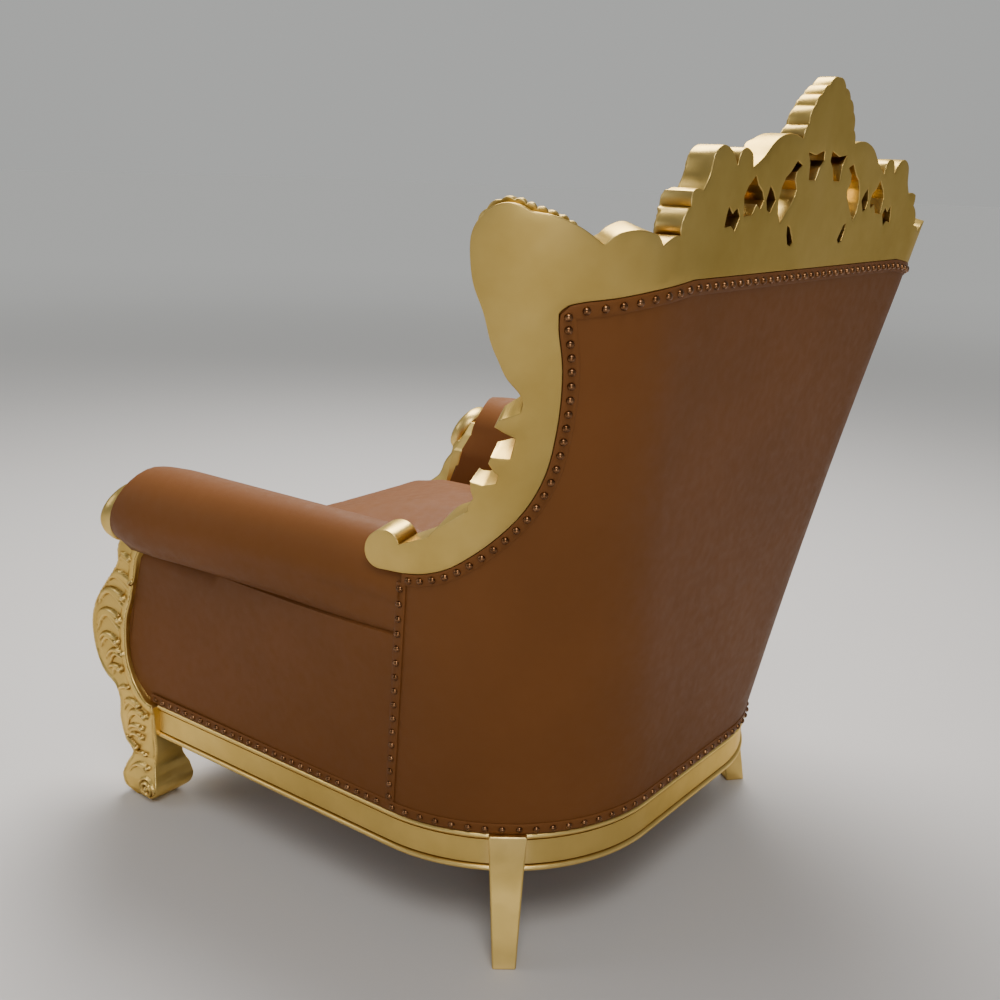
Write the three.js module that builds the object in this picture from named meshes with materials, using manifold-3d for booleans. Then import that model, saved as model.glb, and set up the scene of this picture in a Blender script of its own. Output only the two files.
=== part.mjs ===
// A wide upholstered throne: a gilded, carved and pierced crest that wraps round the back as two
// wings and ends in a scroll on each arm, a leather tub, rolled arms behind S-shaped carved posts,
// and one loose crowned cushion. Millimetres, +Z up, the sitter faces -Y, and the origin is on the
// floor at the middle of the throne's footprint.

import * as THREE from 'three';
import { mergeVertices } from 'three/addons/utils/BufferGeometryUtils.js';
import Module from 'manifold-3d';

const wasm = await Module();
wasm.setup();

// ---------------------------------------------------------------- driving dimensions

const GAP = 0.35;                 // clearance between pieces that touch
const RAIL_TOP = 206;             // seat rails: top and bottom edges
const RAIL_BOTTOM = 142;
const RAIL_THICK = 32;
const RAIL_BEAD = 10;             // height of the bead along each edge
const RAIL_SINK = 3;              // how far the field lies behind the beads

const BASE_W = 429;               // tub plan at the rail top: half width, corner radius, rear
const BASE_R = 289;
const BASE_B = 446;
const CREST_Z = 1042;             // tub plan at the top of the leather
const CREST_W = 605;
const CREST_R = 223;
const CREST_B = 571;
const TUB_BOW = 0.17;             // how far the flaring sides sag below a straight line
const CREST_LEAN = 0.05;          // rearward lean of the crest above the leather
const WING_LEAN = 0.174;          // and of the wings
const WING_FLARE = 0.245;         // outward lean of the wings above the leather
const WING_FROM = 330;            // where the crest's lean starts to turn into the wings'
const WING_BLEND = 190;

const BOARD = 37;                 // thickness of the carved crest board
const BOARD_AT_APEX = 27;         // and at the top of the palmette
const BOARD_GAP = 1.3;            // between the board's edge and the leather trimmed to it
const TRIM_REACH = 14;            // how far beyond both faces of the board the arms are cut away
const APEX_Z = 1300;
const WALL_LOW = 50;              // leather wall thickness below the seat
const WALL_PAD = 85;              // and at the padded inside back
const PAD_RISE = 70;              // height over which the pad thickens
const TOP_THINNING = 18;          // and how much it thins again towards the crest
const TOP_THINS_FROM = 960;

const ARM_IN = 368;               // inner face of the arms
const ROLL_X = 459;               // arm roll at its front: centre and radius
const ROLL_Z = 592;
const ROLL_R = 80;
const ROLL_R_FRONT = 64;
const ROLL_SEAM_Z = 492;          // seam under the roll, at its front and at its rear
const ROLL_SEAM_REAR_Z = 532;
const SEAM_TURN = 14;             // height over which the leather turns out above the seam
const ARM_TOP = 624;              // top of the arm where it meets the tub
const ARM_START = -490;           // foremost reach of the arm's leather
const ARM_END_GAP = 2;            // between the arm's rear end and the tub
const REAR_ROLL_X = 447;          // arm roll where it meets the tub
const REAR_ROLL_RX = 62;
const ROLL_TILT = 0.5;            // slope of the roll's front, mm back for each mm up
const ROLL_FRONT_Y = -377;        // front of the roll at its centre's height
const VOLUTE_X = 463;             // the volute in front of the roll: centre and size
const VOLUTE_Z = 574;
const VOLUTE_THICK = 28;
const VOLUTE_R = 58;

const POST_IN = 381;              // carved front post: inner and outer faces
const POST_OUT = 438;
const POST_BACK = -407;           // rear of the post at the rail
const POST_RELIEF = 7;            // height of the leaves on the outer face

const LEG_PHI = 51;               // rear leg: angle round the tub corner, degrees from the back
const LEG_WIDTH = 58;
const LEG_WIDTH_FLOOR = 36;
const LEG_DEPTH = 46;
const LEG_PROUD = 9;
const LEG_SPLAY = 32;

const APRON_Y = -470;             // front rail: face at its ends, bow, lower edge and its wave
const APRON_BOW = 12;
const APRON_LOW = 136;
const APRON_DROP = 34;
const APRON_WAVE = 8;

const DECK_TOP = 340;
const DECK_FRONT = -456;
const DECK_HALF = 362;
const CUSHION_HALF = 363;
const CUSHION_FRONT = -474;
const CUSHION_REAR = 372;
const CUSHION_EDGE = 468;         // top of the cushion at its boxing
const CUSHION_CROWN = 566;        // and at its middle

// ---------------------------------------------------------------- materials

const finish = (color, roughness, metalness) =>
  new THREE.MeshStandardMaterial({ color, roughness, metalness });
const GOLD = finish(0xc3a15f, 0.42, 0.75);
const LEATHER = finish(0x6b3d20, 0.5, 0);

// ---------------------------------------------------------------- small geometry helpers

const mix = (a, b, t) => a + (b - a) * t;
const clamp = (v, lo, hi) => Math.min(hi, Math.max(lo, v));
const smooth = (t) => clamp(t, 0, 1) ** 2 * (3 - 2 * clamp(t, 0, 1));
const rad = (deg) => (deg * Math.PI) / 180;

// A mesh from points [x, y, z] and triangles [a, b, c].
function geometryFrom(points, triangles) {
  const geometry = new THREE.BufferGeometry();
  geometry.setAttribute('position', new THREE.Float32BufferAttribute(points.flat(), 3));
  geometry.setIndex(triangles.flat());
  return geometry;
}

function weld(geometry) {
  const g = geometry.clone();
  g.deleteAttribute('normal');
  g.deleteAttribute('uv');
  return mergeVertices(g, 1e-4);
}

function toSolid(geometry) {
  const g = weld(geometry);
  return new wasm.Manifold(new wasm.Mesh({
    numProp: 3,
    vertProperties: new Float32Array(g.attributes.position.array),
    triVerts: new Uint32Array(g.index.array),
  }));
}

function fromSolid(solid) {
  const mesh = solid.getMesh();
  const g = new THREE.BufferGeometry();
  g.setAttribute('position', new THREE.Float32BufferAttribute(mesh.vertProperties, 3));
  g.setIndex(Array.from(mesh.triVerts));
  return g;
}

// Rows of equal length become a closed skin; each row is itself a closed ring.
function loftRings(rings) {
  const n = rings[0].length;
  const triangles = [];
  for (let i = 0; i + 1 < rings.length; i++) {
    for (let j = 0; j < n; j++) {
      const a = i * n + j;
      const b = i * n + ((j + 1) % n);
      triangles.push([a, b, b + n], [a, b + n, a + n]);
    }
  }
  const cap = (ring, offset, followsRing) => {
    const flat = flattened(ring);
    const turn = Math.sign(THREE.ShapeUtils.area(flat));
    for (const [a, b, c] of THREE.ShapeUtils.triangulateShape(flat, [])) {
      const same = Math.sign(THREE.ShapeUtils.area([flat[a], flat[b], flat[c]])) === turn;
      const [p, q] = same === followsRing ? [b, c] : [c, b];
      triangles.push([offset + a, offset + p, offset + q]);
    }
  };
  cap(rings[0], 0, false);
  cap(rings.at(-1), (rings.length - 1) * n, true);
  return outward(geometryFrom(rings.flat(), triangles));
}

// A nearly flat ring seen square on to its largest face.
function flattened(ring) {
  const normal = [0, 1, 2].map((k) => {
    const [a, b] = [(k + 1) % 3, (k + 2) % 3];
    return Math.abs(ring.reduce((sum, p, i) => {
      const q = ring[(i + 1) % ring.length];
      return sum + p[a] * q[b] - q[a] * p[b];
    }, 0));
  });
  const k = normal.indexOf(Math.max(...normal));
  return ring.map((p) => new THREE.Vector2(p[(k + 1) % 3], p[(k + 2) % 3]));
}

// Turns a closed mesh right side out.
function outward(geometry) {
  const p = geometry.attributes.position;
  const index = geometry.index.array;
  let volume = 0;
  const v = [new THREE.Vector3(), new THREE.Vector3(), new THREE.Vector3()];
  for (let i = 0; i < index.length; i += 3) {
    v.forEach((w, k) => w.fromBufferAttribute(p, index[i + k]));
    volume += v[0].dot(v[1].cross(v[2]));
  }
  if (volume < 0) {
    for (let i = 0; i < index.length; i += 3) {
      [index[i + 1], index[i + 2]] = [index[i + 2], index[i + 1]];
    }
  }
  return geometry;
}

// A smooth curve through a few named points, as plain pairs.
function curveThrough(points, steps) {
  const curve = new THREE.SplineCurve(points.map(([a, b]) => new THREE.Vector2(a, b)));
  return curve.getPoints(steps).map((p) => [p.x, p.y]);
}

// ---------------------------------------------------------------- the tub surface

// Plan of the tub at height z: half width W, corner radius R, rear B. Above the leather the
// wings, which are further from the middle u = 0, lean back more than the crest.
function tubPlan(z, u = 0) {
  const t = (z - RAIL_TOP) / (CREST_Z - RAIL_TOP);
  if (t > 1) {
    const above = z - CREST_Z;
    return {
      W: CREST_W + WING_FLARE * above,
      R: CREST_R - 0.08 * above,
      B: CREST_B + mix(CREST_LEAN, WING_LEAN, smooth((Math.abs(u) - WING_FROM) / WING_BLEND)) * above,
    };
  }
  const w = t - TUB_BOW * t * (1 - t);
  return {
    W: mix(BASE_W, CREST_W, w),
    R: mix(BASE_R, CREST_R, t),
    B: mix(BASE_B, CREST_B, w),
  };
}

// The point u mm round the tub from its middle, at height z, and d mm inside its outer face.
function onTub(u, z, d) {
  const { W, R, B } = tubPlan(z, u);
  const flat = W - R;
  const side = Math.sign(u);
  const along = Math.abs(u);
  const phi = (along - flat) / R;
  if (along <= flat) return [u, B - d, z];
  if (phi <= Math.PI / 2) {
    return [side * (flat + (R - d) * Math.sin(phi)), B - R + (R - d) * Math.cos(phi), z];
  }
  return [side * (W - d), B - R - (along - flat - (R * Math.PI) / 2), z];
}

// How far round the tub its rounded corner ends, which is where the arm's leather begins.
function cornerEnd(z) {
  const { W, R } = tubPlan(z);
  return W - R + (R * Math.PI) / 2;
}

// ---------------------------------------------------------------- boards bent to the tub

const keyOf = ([a, b]) => `${Math.round(a * 1e3)}_${Math.round(b * 1e3)}`;

function isInside(rings, [a, b]) {
  let inside = false;
  for (const ring of rings) {
    ring.forEach((p, i) => {
      const q = ring[(i + 1) % ring.length];
      const across = p[1] > b !== q[1] > b;
      if (across && a < p[0] + ((b - p[1]) * (q[0] - p[0])) / (q[1] - p[1])) inside = !inside;
    });
  }
  return inside;
}

// Cuts an area, given as rings with the material on their left, into bands along one axis.
function bands(rings, axis, lines) {
  const other = 1 - axis;
  const cutRings = rings.map((ring) => ring.flatMap((p, i) => {
    const q = ring[(i + 1) % ring.length];
    const crossed = lines.filter((v) => (p[axis] - v) * (q[axis] - v) < 0);
    const made = crossed.map((v) => {
      const [s, e] = p[axis] < q[axis] ? [p, q] : [q, p];
      const point = [];
      point[axis] = v;
      point[other] = mix(s[other], e[other], (v - s[axis]) / (e[axis] - s[axis]));
      return point;
    });
    if (p[axis] > q[axis]) made.reverse();
    return [p, ...made];
  }));
  const limits = [-Infinity, ...lines, Infinity];
  const result = [];
  for (let k = 0; k + 1 < limits.length; k++) {
    const edges = new Map();
    const put = (p, q) => edges.set(keyOf(p), [p, q]);
    for (const ring of cutRings) {
      ring.forEach((p, i) => {
        const q = ring[(i + 1) % ring.length];
        const middle = (p[axis] + q[axis]) / 2;
        if (middle > limits[k] && middle < limits[k + 1]) put(p, q);
      });
    }
    for (const [v, inward] of [[limits[k], 1], [limits[k + 1], -1]]) {
      if (!Number.isFinite(v)) continue;
      const on = cutRings.flat().filter((p) => p[axis] === v).sort((p, q) => p[other] - q[other]);
      for (let i = 0; i + 1 < on.length; i++) {
        const probe = [];
        probe[axis] = v + inward * 1e-4;
        probe[other] = (on[i][other] + on[i + 1][other]) / 2;
        if (on[i + 1][other] - on[i][other] < 1e-6 || !isInside(rings, probe)) continue;
        const forward = (inward > 0) === (axis === 1);
        if (forward) put(on[i], on[i + 1]);
        else put(on[i + 1], on[i]);
      }
    }
    const loops = [];
    while (edges.size) {
      const [startKey, first] = edges.entries().next().value;
      const loop = [];
      let edge = first;
      let key = startKey;
      while (edge) {
        loop.push(edge[0]);
        edges.delete(key);
        key = keyOf(edge[1]);
        edge = edges.get(key);
      }
      if (loop.length > 2) loops.push(loop);
    }
    if (loops.length) result.push(loops);
  }
  return result;
}

// Triangles of an area that may have holes, as triples of points.
function triangulate(rings) {
  const toVectors = (ring) => ring.map(([a, b]) => new THREE.Vector2(a, b));
  const area = (ring) => THREE.ShapeUtils.area(toVectors(ring));
  const outers = rings.filter((ring) => area(ring) > 0);
  const holes = rings.filter((ring) => area(ring) < 0);
  return outers.flatMap((outer) => {
    const own = holes.filter((hole) => isInside([outer], hole[0]));
    const all = [outer, ...own].flat();
    return THREE.ShapeUtils.triangulateShape(toVectors(outer), own.map(toVectors)).map(([a, b, c]) => {
      const turn = THREE.ShapeUtils.area(toVectors([all[a], all[b], all[c]]));
      return turn > 0 ? [all[a], all[b], all[c]] : [all[a], all[c], all[b]];
    });
  });
}

// Creases of a bent plate lie on one grid; its middle is flat and needs no upright ones.
const CREASE = 43;
const CREASE_START = 118.637;
const CREASE_REACH = 760;
const ROW = 110;

function creaseLines() {
  const upright = [];
  for (let u = CREASE_START; u < CREASE_REACH; u += CREASE) upright.push(u);
  const level = [DECK_TOP + 4];
  for (let z = DECK_TOP + PAD_RISE; z < CREST_Z + 60; z += ROW) level.push(z + 0.171);
  return [[...upright.map((u) => -u).reverse(), ...upright], level];
}

function turnedRing(ring, sign) {
  const area = THREE.ShapeUtils.area(ring.map(([a, b]) => new THREE.Vector2(a, b)));
  return area * sign > 0 ? ring : [...ring].reverse();
}

// A plate with the given outline and holes in (u, z), bent to the tub. Its depths run from the
// outer face to the inner one; those between them only shape its edges.
function tubPlate(outline, holes, depths) {
  const rings = [turnedRing(outline, 1), ...holes.map((hole) => turnedRing(hole, -1))];
  const [upright, level] = creaseLines();
  const cells = bands(rings, 0, upright).flatMap((strip) => bands(strip, 1, level));
  const numbers = new Map();
  const flat = [];
  const numberOf = (p) => {
    const key = keyOf(p);
    if (!numbers.has(key)) numbers.set(key, flat.push(p) - 1);
    return numbers.get(key);
  };
  const faces = cells.flatMap(triangulate).map((face) => face.map(numberOf));
  const n = flat.length;
  const last = (depths.length - 1) * n;
  const points = depths.flatMap((depth) => flat.map(([u, z]) => onTub(u, z, depth(u, z))));
  const triangles = [];
  const edges = new Map();
  for (const [a, b, c] of faces) {
    triangles.push([a, b, c], [a + last, c + last, b + last]);
    for (const [p, q] of [[a, b], [b, c], [c, a]]) edges.set(`${p}_${q}`, [p, q]);
  }
  for (const [p, q] of edges.values()) {
    if (edges.has(`${q}_${p}`)) continue;
    // the wall's diagonal starts from the end nearer the middle, whichever way the edge runs
    const fromQ = Math.abs(flat[q][0]) < Math.abs(flat[p][0]);
    for (let k = 0; k < last; k += n) {
      if (fromQ) triangles.push([q + k, p + k, p + n + k], [q + k, p + n + k, q + n + k]);
      else triangles.push([q + k, p + k, q + n + k], [p + k, p + n + k, q + n + k]);
    }
  }
  return outward(geometryFrom(points, triangles));
}

// Moves every point of a line sideways by a small distance.
function shifted(line, distance) {
  return line.map((p, i) => {
    const a = line[Math.max(0, i - 1)];
    const b = line[Math.min(line.length - 1, i + 1)];
    const length = Math.hypot(b[0] - a[0], b[1] - a[1]);
    return [p[0] - ((b[1] - a[1]) / length) * distance, p[1] + ((b[0] - a[0]) / length) * distance];
  });
}

// ---------------------------------------------------------------- the crest's outline

// A row of scallops between named cusps; each bulges by its own share of its length.
function scallops(cusps, bulge, steps) {
  const line = [];
  for (let i = 0; i + 1 < cusps.length; i++) {
    const [a, b] = [cusps[i], cusps[i + 1]];
    const normal = [b[1] - a[1], a[0] - b[0]];
    for (let k = 0; k < steps; k++) {
      const t = k / steps;
      const rise = -4 * bulge * t * (1 - t);
      line.push([mix(a[0], b[0], t) + normal[0] * rise, mix(a[1], b[1], t) + normal[1] * rise]);
    }
  }
  line.push(cusps.at(-1));
  return line;
}

// The palmette: a fan of scallops that grow smaller towards the apex.
const PALMETTE = [[0, APEX_Z], [28, 1288], [50, 1275], [68, 1259], [80, 1235], [91, 1216]];
// A round shoulder beside it, then two upright petals.
const SHOULDER = [[91, 1216], [113, 1220], [140, 1220], [172, 1211], [202, 1190], [230, 1176]];
const PETAL_IN = [[230, 1176], [236, 1192], [254, 1199], [268, 1193], [274, 1177]];
const PETAL_OUT = [[274, 1177], [290, 1193], [314, 1200], [335, 1190], [343, 1165], [356, 1147]];
// Steps of scalloped leaf down to the wing.
const STAIRS = [[384, 1146], [384, 1129], [402, 1110], [401, 1096], [434, 1085]];
// The wing: a low round lobe, a notch, and the tall ear.
const WING_LOBE = [[434, 1085], [448, 1097], [480, 1103], [507, 1099], [522, 1087]];
const EAR_TOP = [[522, 1087], [553, 1104], [585, 1116], [613, 1120]];
const EAR = [
  [613, 1120], [630, 1127], [648, 1128], [664, 1119], [673, 1100], [671, 1078],
  [657, 1040], [634, 1004], [616, 970], [600, 947], [585, 927], [564, 908],
];
// Three pointed leaves on the inner curve.
const LEAVES = [
  [[556, 895], [556, 884], [568, 878], [579, 874], [582, 864], [566, 856], [552, 850]],
  [[551, 841], [551, 823], [565, 823], [575, 824], [576, 815], [567, 805], [559, 799]],
  [[559, 788], [575, 784], [592, 788], [588, 775], [582, 765]],
];
const ARM_STEPS = [[586, 753], [584, 746], [600, 732], [621, 713], [628, 700], [661, 681]];
// The scroll that ends the board on the arm.
const SCROLL_U = 699;
const SCROLL_Z = 662;
const SCROLL_R = 31.5;
// The lower edge, along the leather.
const LOWER = [
  [655, 634], [622, 641], [589, 656], [561, 681], [536, 711], [516, 744], [505, 777],
  [501, 812], [504, 853], [511, 896], [521, 935], [531, 962], [541, 985], [548, 1007],
];
const UNDER_CREST = [
  [548, 1007], [541, 1016], [520, 1021], [484, 1025], [428, 1033], [350, CREST_Z],
];

// Right-hand top edge of the board, from the axis to the scroll.
function upperEdge() {
  const scroll = [];
  for (let k = 0; k <= 9; k++) {
    const angle = rad(mix(150, -97, k / 9));
    scroll.push([SCROLL_U + SCROLL_R * Math.cos(angle), SCROLL_Z + SCROLL_R * Math.sin(angle)]);
  }
  return [
    ...scallops(PALMETTE, 0.16, 3).slice(0, -1),
    ...curveThrough(SHOULDER, 9).slice(0, -1),
    ...curveThrough(PETAL_IN, 6).slice(0, -1),
    ...curveThrough(PETAL_OUT, 8),
    ...scallops(STAIRS, 0.1, 2).slice(0, -1),
    ...curveThrough(WING_LOBE, 7).slice(0, -1),
    ...curveThrough(EAR_TOP, 4).slice(0, -1),
    ...curveThrough(EAR, 20),
    ...LEAVES.flat(),
    ...ARM_STEPS,
    ...scroll,
  ];
}

const lowerEdge = () => [
  ...curveThrough(LOWER, 18), ...curveThrough(UNDER_CREST, 10).slice(1), [0, CREST_Z],
];

const mirrorLine = (line) => line.map(([u, z]) => [-u, z]);

// The pierced openwork of the right half.
const PIERCINGS = {
  besideAxis: [
    [68, 1199], [42, 1196], [13, 1203], [11, 1190], [23, 1181], [32, 1163], [55, 1163], [58, 1186],
  ],
  tall: [
    [99, 1187], [83, 1182], [97, 1173], [99, 1162], [90, 1150], [93, 1141], [104, 1129], [129, 1106],
    [139, 1119], [143, 1135], [138, 1152], [129, 1165], [116, 1172],
  ],
  slit: [[104, 1103], [95, 1100], [79, 1080], [85, 1075], [96, 1078], [102, 1090]],
  leaf: [[173, 1154], [161, 1146], [152, 1136], [164, 1120], [175, 1124], [180, 1136]],
  flame: [
    [219, 1166], [208, 1154], [194, 1146], [187, 1136], [194, 1125], [207, 1131], [217, 1118],
    [240, 1116], [245, 1140], [237, 1152],
  ],
  star: [
    [283, 1128], [271, 1119], [260, 1126], [250, 1115], [260, 1098], [272, 1105], [289, 1103],
    [287, 1116],
  ],
};

function piercings() {
  const right = Object.values(PIERCINGS);
  return [...right, ...right.map(mirrorLine)];
}

// ---------------------------------------------------------------- carved relief

// A leaf in relief: pointed, with a raised rib, on any surface given by place(a, b, height).
function leafRelief({ at, angle, length, width, height, place, root = 3, curl = 0 }) {
  const STEPS = 4;
  const rows = [];
  const turn = (a, b) => {
    const bend = curl * (a / length) ** 2;
    const c = Math.cos(angle + bend);
    const s = Math.sin(angle + bend);
    return [at[0] + a * c - b * s, at[1] + a * s + b * c];
  };
  for (let i = 0; i <= STEPS; i++) {
    const t = i / STEPS;
    const half = Math.max(0.4, (width / 2) * Math.sin(Math.PI * clamp(0.12 + 0.86 * t, 0, 1)) ** 0.8);
    const rise = height * Math.sin(Math.PI * clamp(0.08 + 0.84 * t, 0, 1)) ** 0.5;
    const top = [-1, 0, 1].map((f) => place(...turn(t * length, f * half), f === 0 ? rise : 0));
    const bottom = [1, -1].map((f) => place(...turn(t * length, f * half), -root));
    rows.push([...top, ...bottom]);
  }
  return outward(loftRings(rows));
}

const boardFace = (u, z) => {
  const t = smooth((z - 1190) / (APEX_Z - 1190));
  return mix(BOARD, BOARD_AT_APEX, Math.abs(u) < 100 ? t : 0);
};
const onBoard = (u, z, h) => onTub(u, z, boardFace(u, z) + h);

function crestRelief() {
  const leaves = [];
  const add = (u, z, deg, length, width, height, curl = 0) => {
    for (const side of [1, -1]) {
      if (side < 0 && u === 0) continue;
      const angle = side > 0 ? rad(deg) : Math.PI - rad(deg);
      leaves.push(leafRelief({
        at: [side * u, z], angle, length, width, height, curl: side * curl, place: onBoard,
      }));
    }
  };
  // flutes of the palmette, fanned from its foot
  add(0, 1214, 90, 74, 18, 9);
  for (const [deg, length] of [[68, 66], [47, 56], [26, 52]]) add(9, 1212, deg, length, 16, 8);
  // cartouche below it, and the leaves that leave it to either side
  add(0, 1062, 90, 92, 46, 14);
  add(40, 1075, 12, 110, 26, 9, 0.5);
  add(150, 1072, 8, 120, 26, 9, 0.45);
  add(268, 1066, 10, 110, 26, 9, 0.4);
  add(300, 1120, 72, 66, 30, 9, 0.2);
  // long leaves up the ear and down the curve to the arm
  add(470, 1052, 18, 120, 34, 10, 0.5);
  add(600, 985, 62, 120, 36, 10, 0.1);
  add(530, 905, 72, 92, 30, 9, -0.3);
  add(528, 806, 88, 90, 28, 9, -0.2);
  add(556, 726, 112, 82, 28, 9, -0.2);
  add(640, 662, 146, 92, 26, 9, -0.2);
  return leaves;
}

function scrollBoss() {
  const bosses = [];
  for (const side of [1, -1]) {
    const ring = (r, h) => Array.from({ length: 12 }, (_, k) => {
      const a = (k / 12) * 2 * Math.PI;
      return onTub(side * (SCROLL_U + r * Math.cos(a)), SCROLL_Z + r * Math.sin(a), BOARD + h);
    });
    bosses.push(loftRings([ring(22, -3), ring(22, 2), ring(16, 7), ring(8, 9)]));
  }
  return bosses;
}

// ---------------------------------------------------------------- pieces

function crestFrame() {
  const right = [...upperEdge(), ...lowerEdge()];
  const outline = [...right.slice(0, -1), ...mirrorLine(right).reverse().slice(1, -1)];
  const board = toSolid(tubPlate(outline, piercings(), [() => 0, boardFace]));
  const limit = toSolid(tubPlate(outline, piercings(), [() => 10, () => BOARD, () => BOARD + 30]));
  const relief = [...crestRelief(), ...scrollBoss()].map(toSolid).reduce((a, b) => a.add(b));
  return fromSolid(board.add(relief.intersect(limit)));
}

// The leather tub: outside back, padded inside back and the rounded corners between the arms.
function tubUpholstery() {
  const rising = stepsBetween(RAIL_TOP + GAP, ARM_TOP, 8).map((z) => [cornerEnd(z), z]);
  const trimmed = shifted(lowerEdge(), BOARD_GAP);
  const right = [[0, RAIL_TOP + GAP], ...rising, ...trimmed];
  const outline = [...right, ...mirrorLine(right).reverse().slice(1, -1)];
  const inside = (u, z) => {
    const pad = mix(WALL_LOW, WALL_PAD, smooth((z - DECK_TOP - 4) / (PAD_RISE - 4)));
    return pad - TOP_THINNING * smooth((z - TOP_THINS_FROM) / (CREST_Z - TOP_THINS_FROM));
  };
  return tubPlate(outline, [], [() => 0, () => BOARD, inside]);
}

// The roll's front leans back as it rises; this is its y at height z.
const rollFront = (z) => ROLL_FRONT_Y + (z - ROLL_Z) * ROLL_TILT;

// Front edge of the arm's leather, by height; the carved post's rear edge follows it.
const ARM_FRONT = [
  [RAIL_TOP, -412], [213, -434], [239, -464], [270, -479], [311, -482], [355, -477], [401, -460],
  [445, -447], [482, -438], ...[516, 556, 592, 680].map((z) => [z, rollFront(z)]),
];
const ARM_LEVELS = [RAIL_TOP + GAP, ...ARM_FRONT.map(([z]) => z).filter((z) => z > RAIL_TOP && z < 480)];

// One section of the arm at share s of its length, as (x, z) points.
function armSection(s) {
  const flare = smooth(s);
  const r = mix(ROLL_R_FRONT, ROLL_R, Math.sqrt(smooth((s - 0.12) / 0.16)));
  const outer = [];
  for (const z of ARM_LEVELS) {
    outer.push([mix(BASE_W, tubPlan(z).W, flare), z]);
  }
  const seam = mix(ROLL_SEAM_Z, ROLL_SEAM_REAR_Z, s);
  outer.push([mix(BASE_W, tubPlan(seam).W, flare) - 4, seam]);
  outer.push([mix(460, tubPlan(seam + SEAM_TURN).W + 3, flare), seam + SEAM_TURN]);
  for (const deg of [-52, -25, 0, 25, 50, 72, 90, 110, 135, 160, 180]) {
    const front = [ROLL_X + r * Math.cos(rad(deg)), ROLL_Z + r * Math.sin(rad(deg))];
    const rear = [REAR_ROLL_X + REAR_ROLL_RX * Math.cos(rad(deg)), ROLL_Z + ROLL_R * Math.sin(rad(deg))];
    if (deg < 0) {
      rear[1] = mix(ROLL_Z, ROLL_SEAM_REAR_Z + SEAM_TURN, deg / -62);
      rear[0] = tubPlan(rear[1]).W + 3;
    }
    outer.push([mix(front[0], rear[0], flare), mix(front[1], rear[1], flare)]);
  }
  outer.push([ARM_IN, 540], ...[...ARM_LEVELS].reverse().map((z) => [ARM_IN, z]));
  return outer.map(([x, z]) => [Math.max(x, ARM_IN), z]);
}

function armUpholstery(side, frameClearance) {
  const rings = [];
  for (const s of [0, 0.12, 0.16, 0.2, 0.25, 0.4, 0.6, 0.8, 1]) {
    rings.push(armSection(s).map(([x, z]) => {
      const { R, B } = tubPlan(z);
      return [side * x, mix(ARM_START, B - R - ARM_END_GAP, s), z];
    }));
  }
  const behind = [...ARM_FRONT.map(([z, y]) => [y, z]), [420, 680], [420, RAIL_TOP]];
  const room = toSolid(prism(behind, 300, 600, (y, z, x) => [side * x, y, z]));
  return fromSolid(toSolid(loftRings(rings)).intersect(room).subtract(frameClearance));
}

// The room that the crest board takes out of the arms.
function boardClearance() {
  const above = shifted(upperEdge(), BOARD_GAP);
  const below = shifted(lowerEdge().slice(0, -1), BOARD_GAP);
  const right = [[0, APEX_Z + BOARD_GAP], ...above.slice(1), ...below, [0, CREST_Z - BOARD_GAP]];
  const outline = [...right, ...mirrorLine(right).reverse().slice(1, -1)];
  return toSolid(tubPlate(outline, [], [() => -TRIM_REACH, () => 0, () => BOARD, () => BOARD + TRIM_REACH]));
}

// The carved front post, from the volute down through the belly, knee and ankle to the foot.
const POST_FRONT = [
  [-420, 560], [-452, 540], [-480, 513], [-494, 488], [-496, 464], [-519, 432], [-555, 390],
  [-576, 354], [-584, 318], [-578, 276], [-564, 246], [-543, 228], [-515, 214], [-505, 190],
  [-509, 150], [-504, 112], [-487, 88], [-500, 62], [-507, 40], [-503, 16], [-480, 0],
];
const POST_REAR = [
  [-440, 0], [-414, 22], [-410, 40], [-417, 64], [-419, 84], [-410, 112], [POST_BACK, 142], [POST_BACK, 202],
];
// Outer and inner edges of the same post seen from the front.
const POST_SIDE_OUT = [
  [430, 0], [440, 16], [443, 40], [437, 64], [432, 88], [436, 120], [441, 160], [442, 210],
  [438, 250], [POST_OUT, 300], [POST_OUT, 600],
];
const POST_SIDE_IN = [
  [POST_IN, 600], [POST_IN, 250], [376, 205], [376, 140], [372, 100], [366, 84], [354, 62],
  [351, 40], [356, 16], [368, 0],
];

// A flat outline pushed along one axis between two depths.
function prism(outline, from, to, place) {
  const ring = (depth) => outline.map(([a, b]) => place(a, b, depth));
  return loftRings([ring(from), ring(to)]);
}

function frontPost(side) {
  const arm = ARM_FRONT.filter(([z]) => z < 570).map(([z, y]) => [y - GAP, z]);
  const profile = [...curveThrough(POST_FRONT, 40), ...curveThrough(POST_REAR, 14), ...arm];
  const across = prism(profile, 330, 460, (y, z, x) => [side * x, y, z]);
  const along = prism([...curveThrough(POST_SIDE_OUT, 20), ...curveThrough(POST_SIDE_IN, 18)], -640, -360,
    (x, z, y) => [side * x, y, z]);
  let solid = toSolid(across).intersect(toSolid(along));
  solid = solid.add(toSolid(volute(side)));
  const leaves = postLeaves(side).map(toSolid).reduce((a, b) => a.add(b));
  return fromSolid(solid.add(leaves.intersect(toSolid(across))));
}

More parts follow.
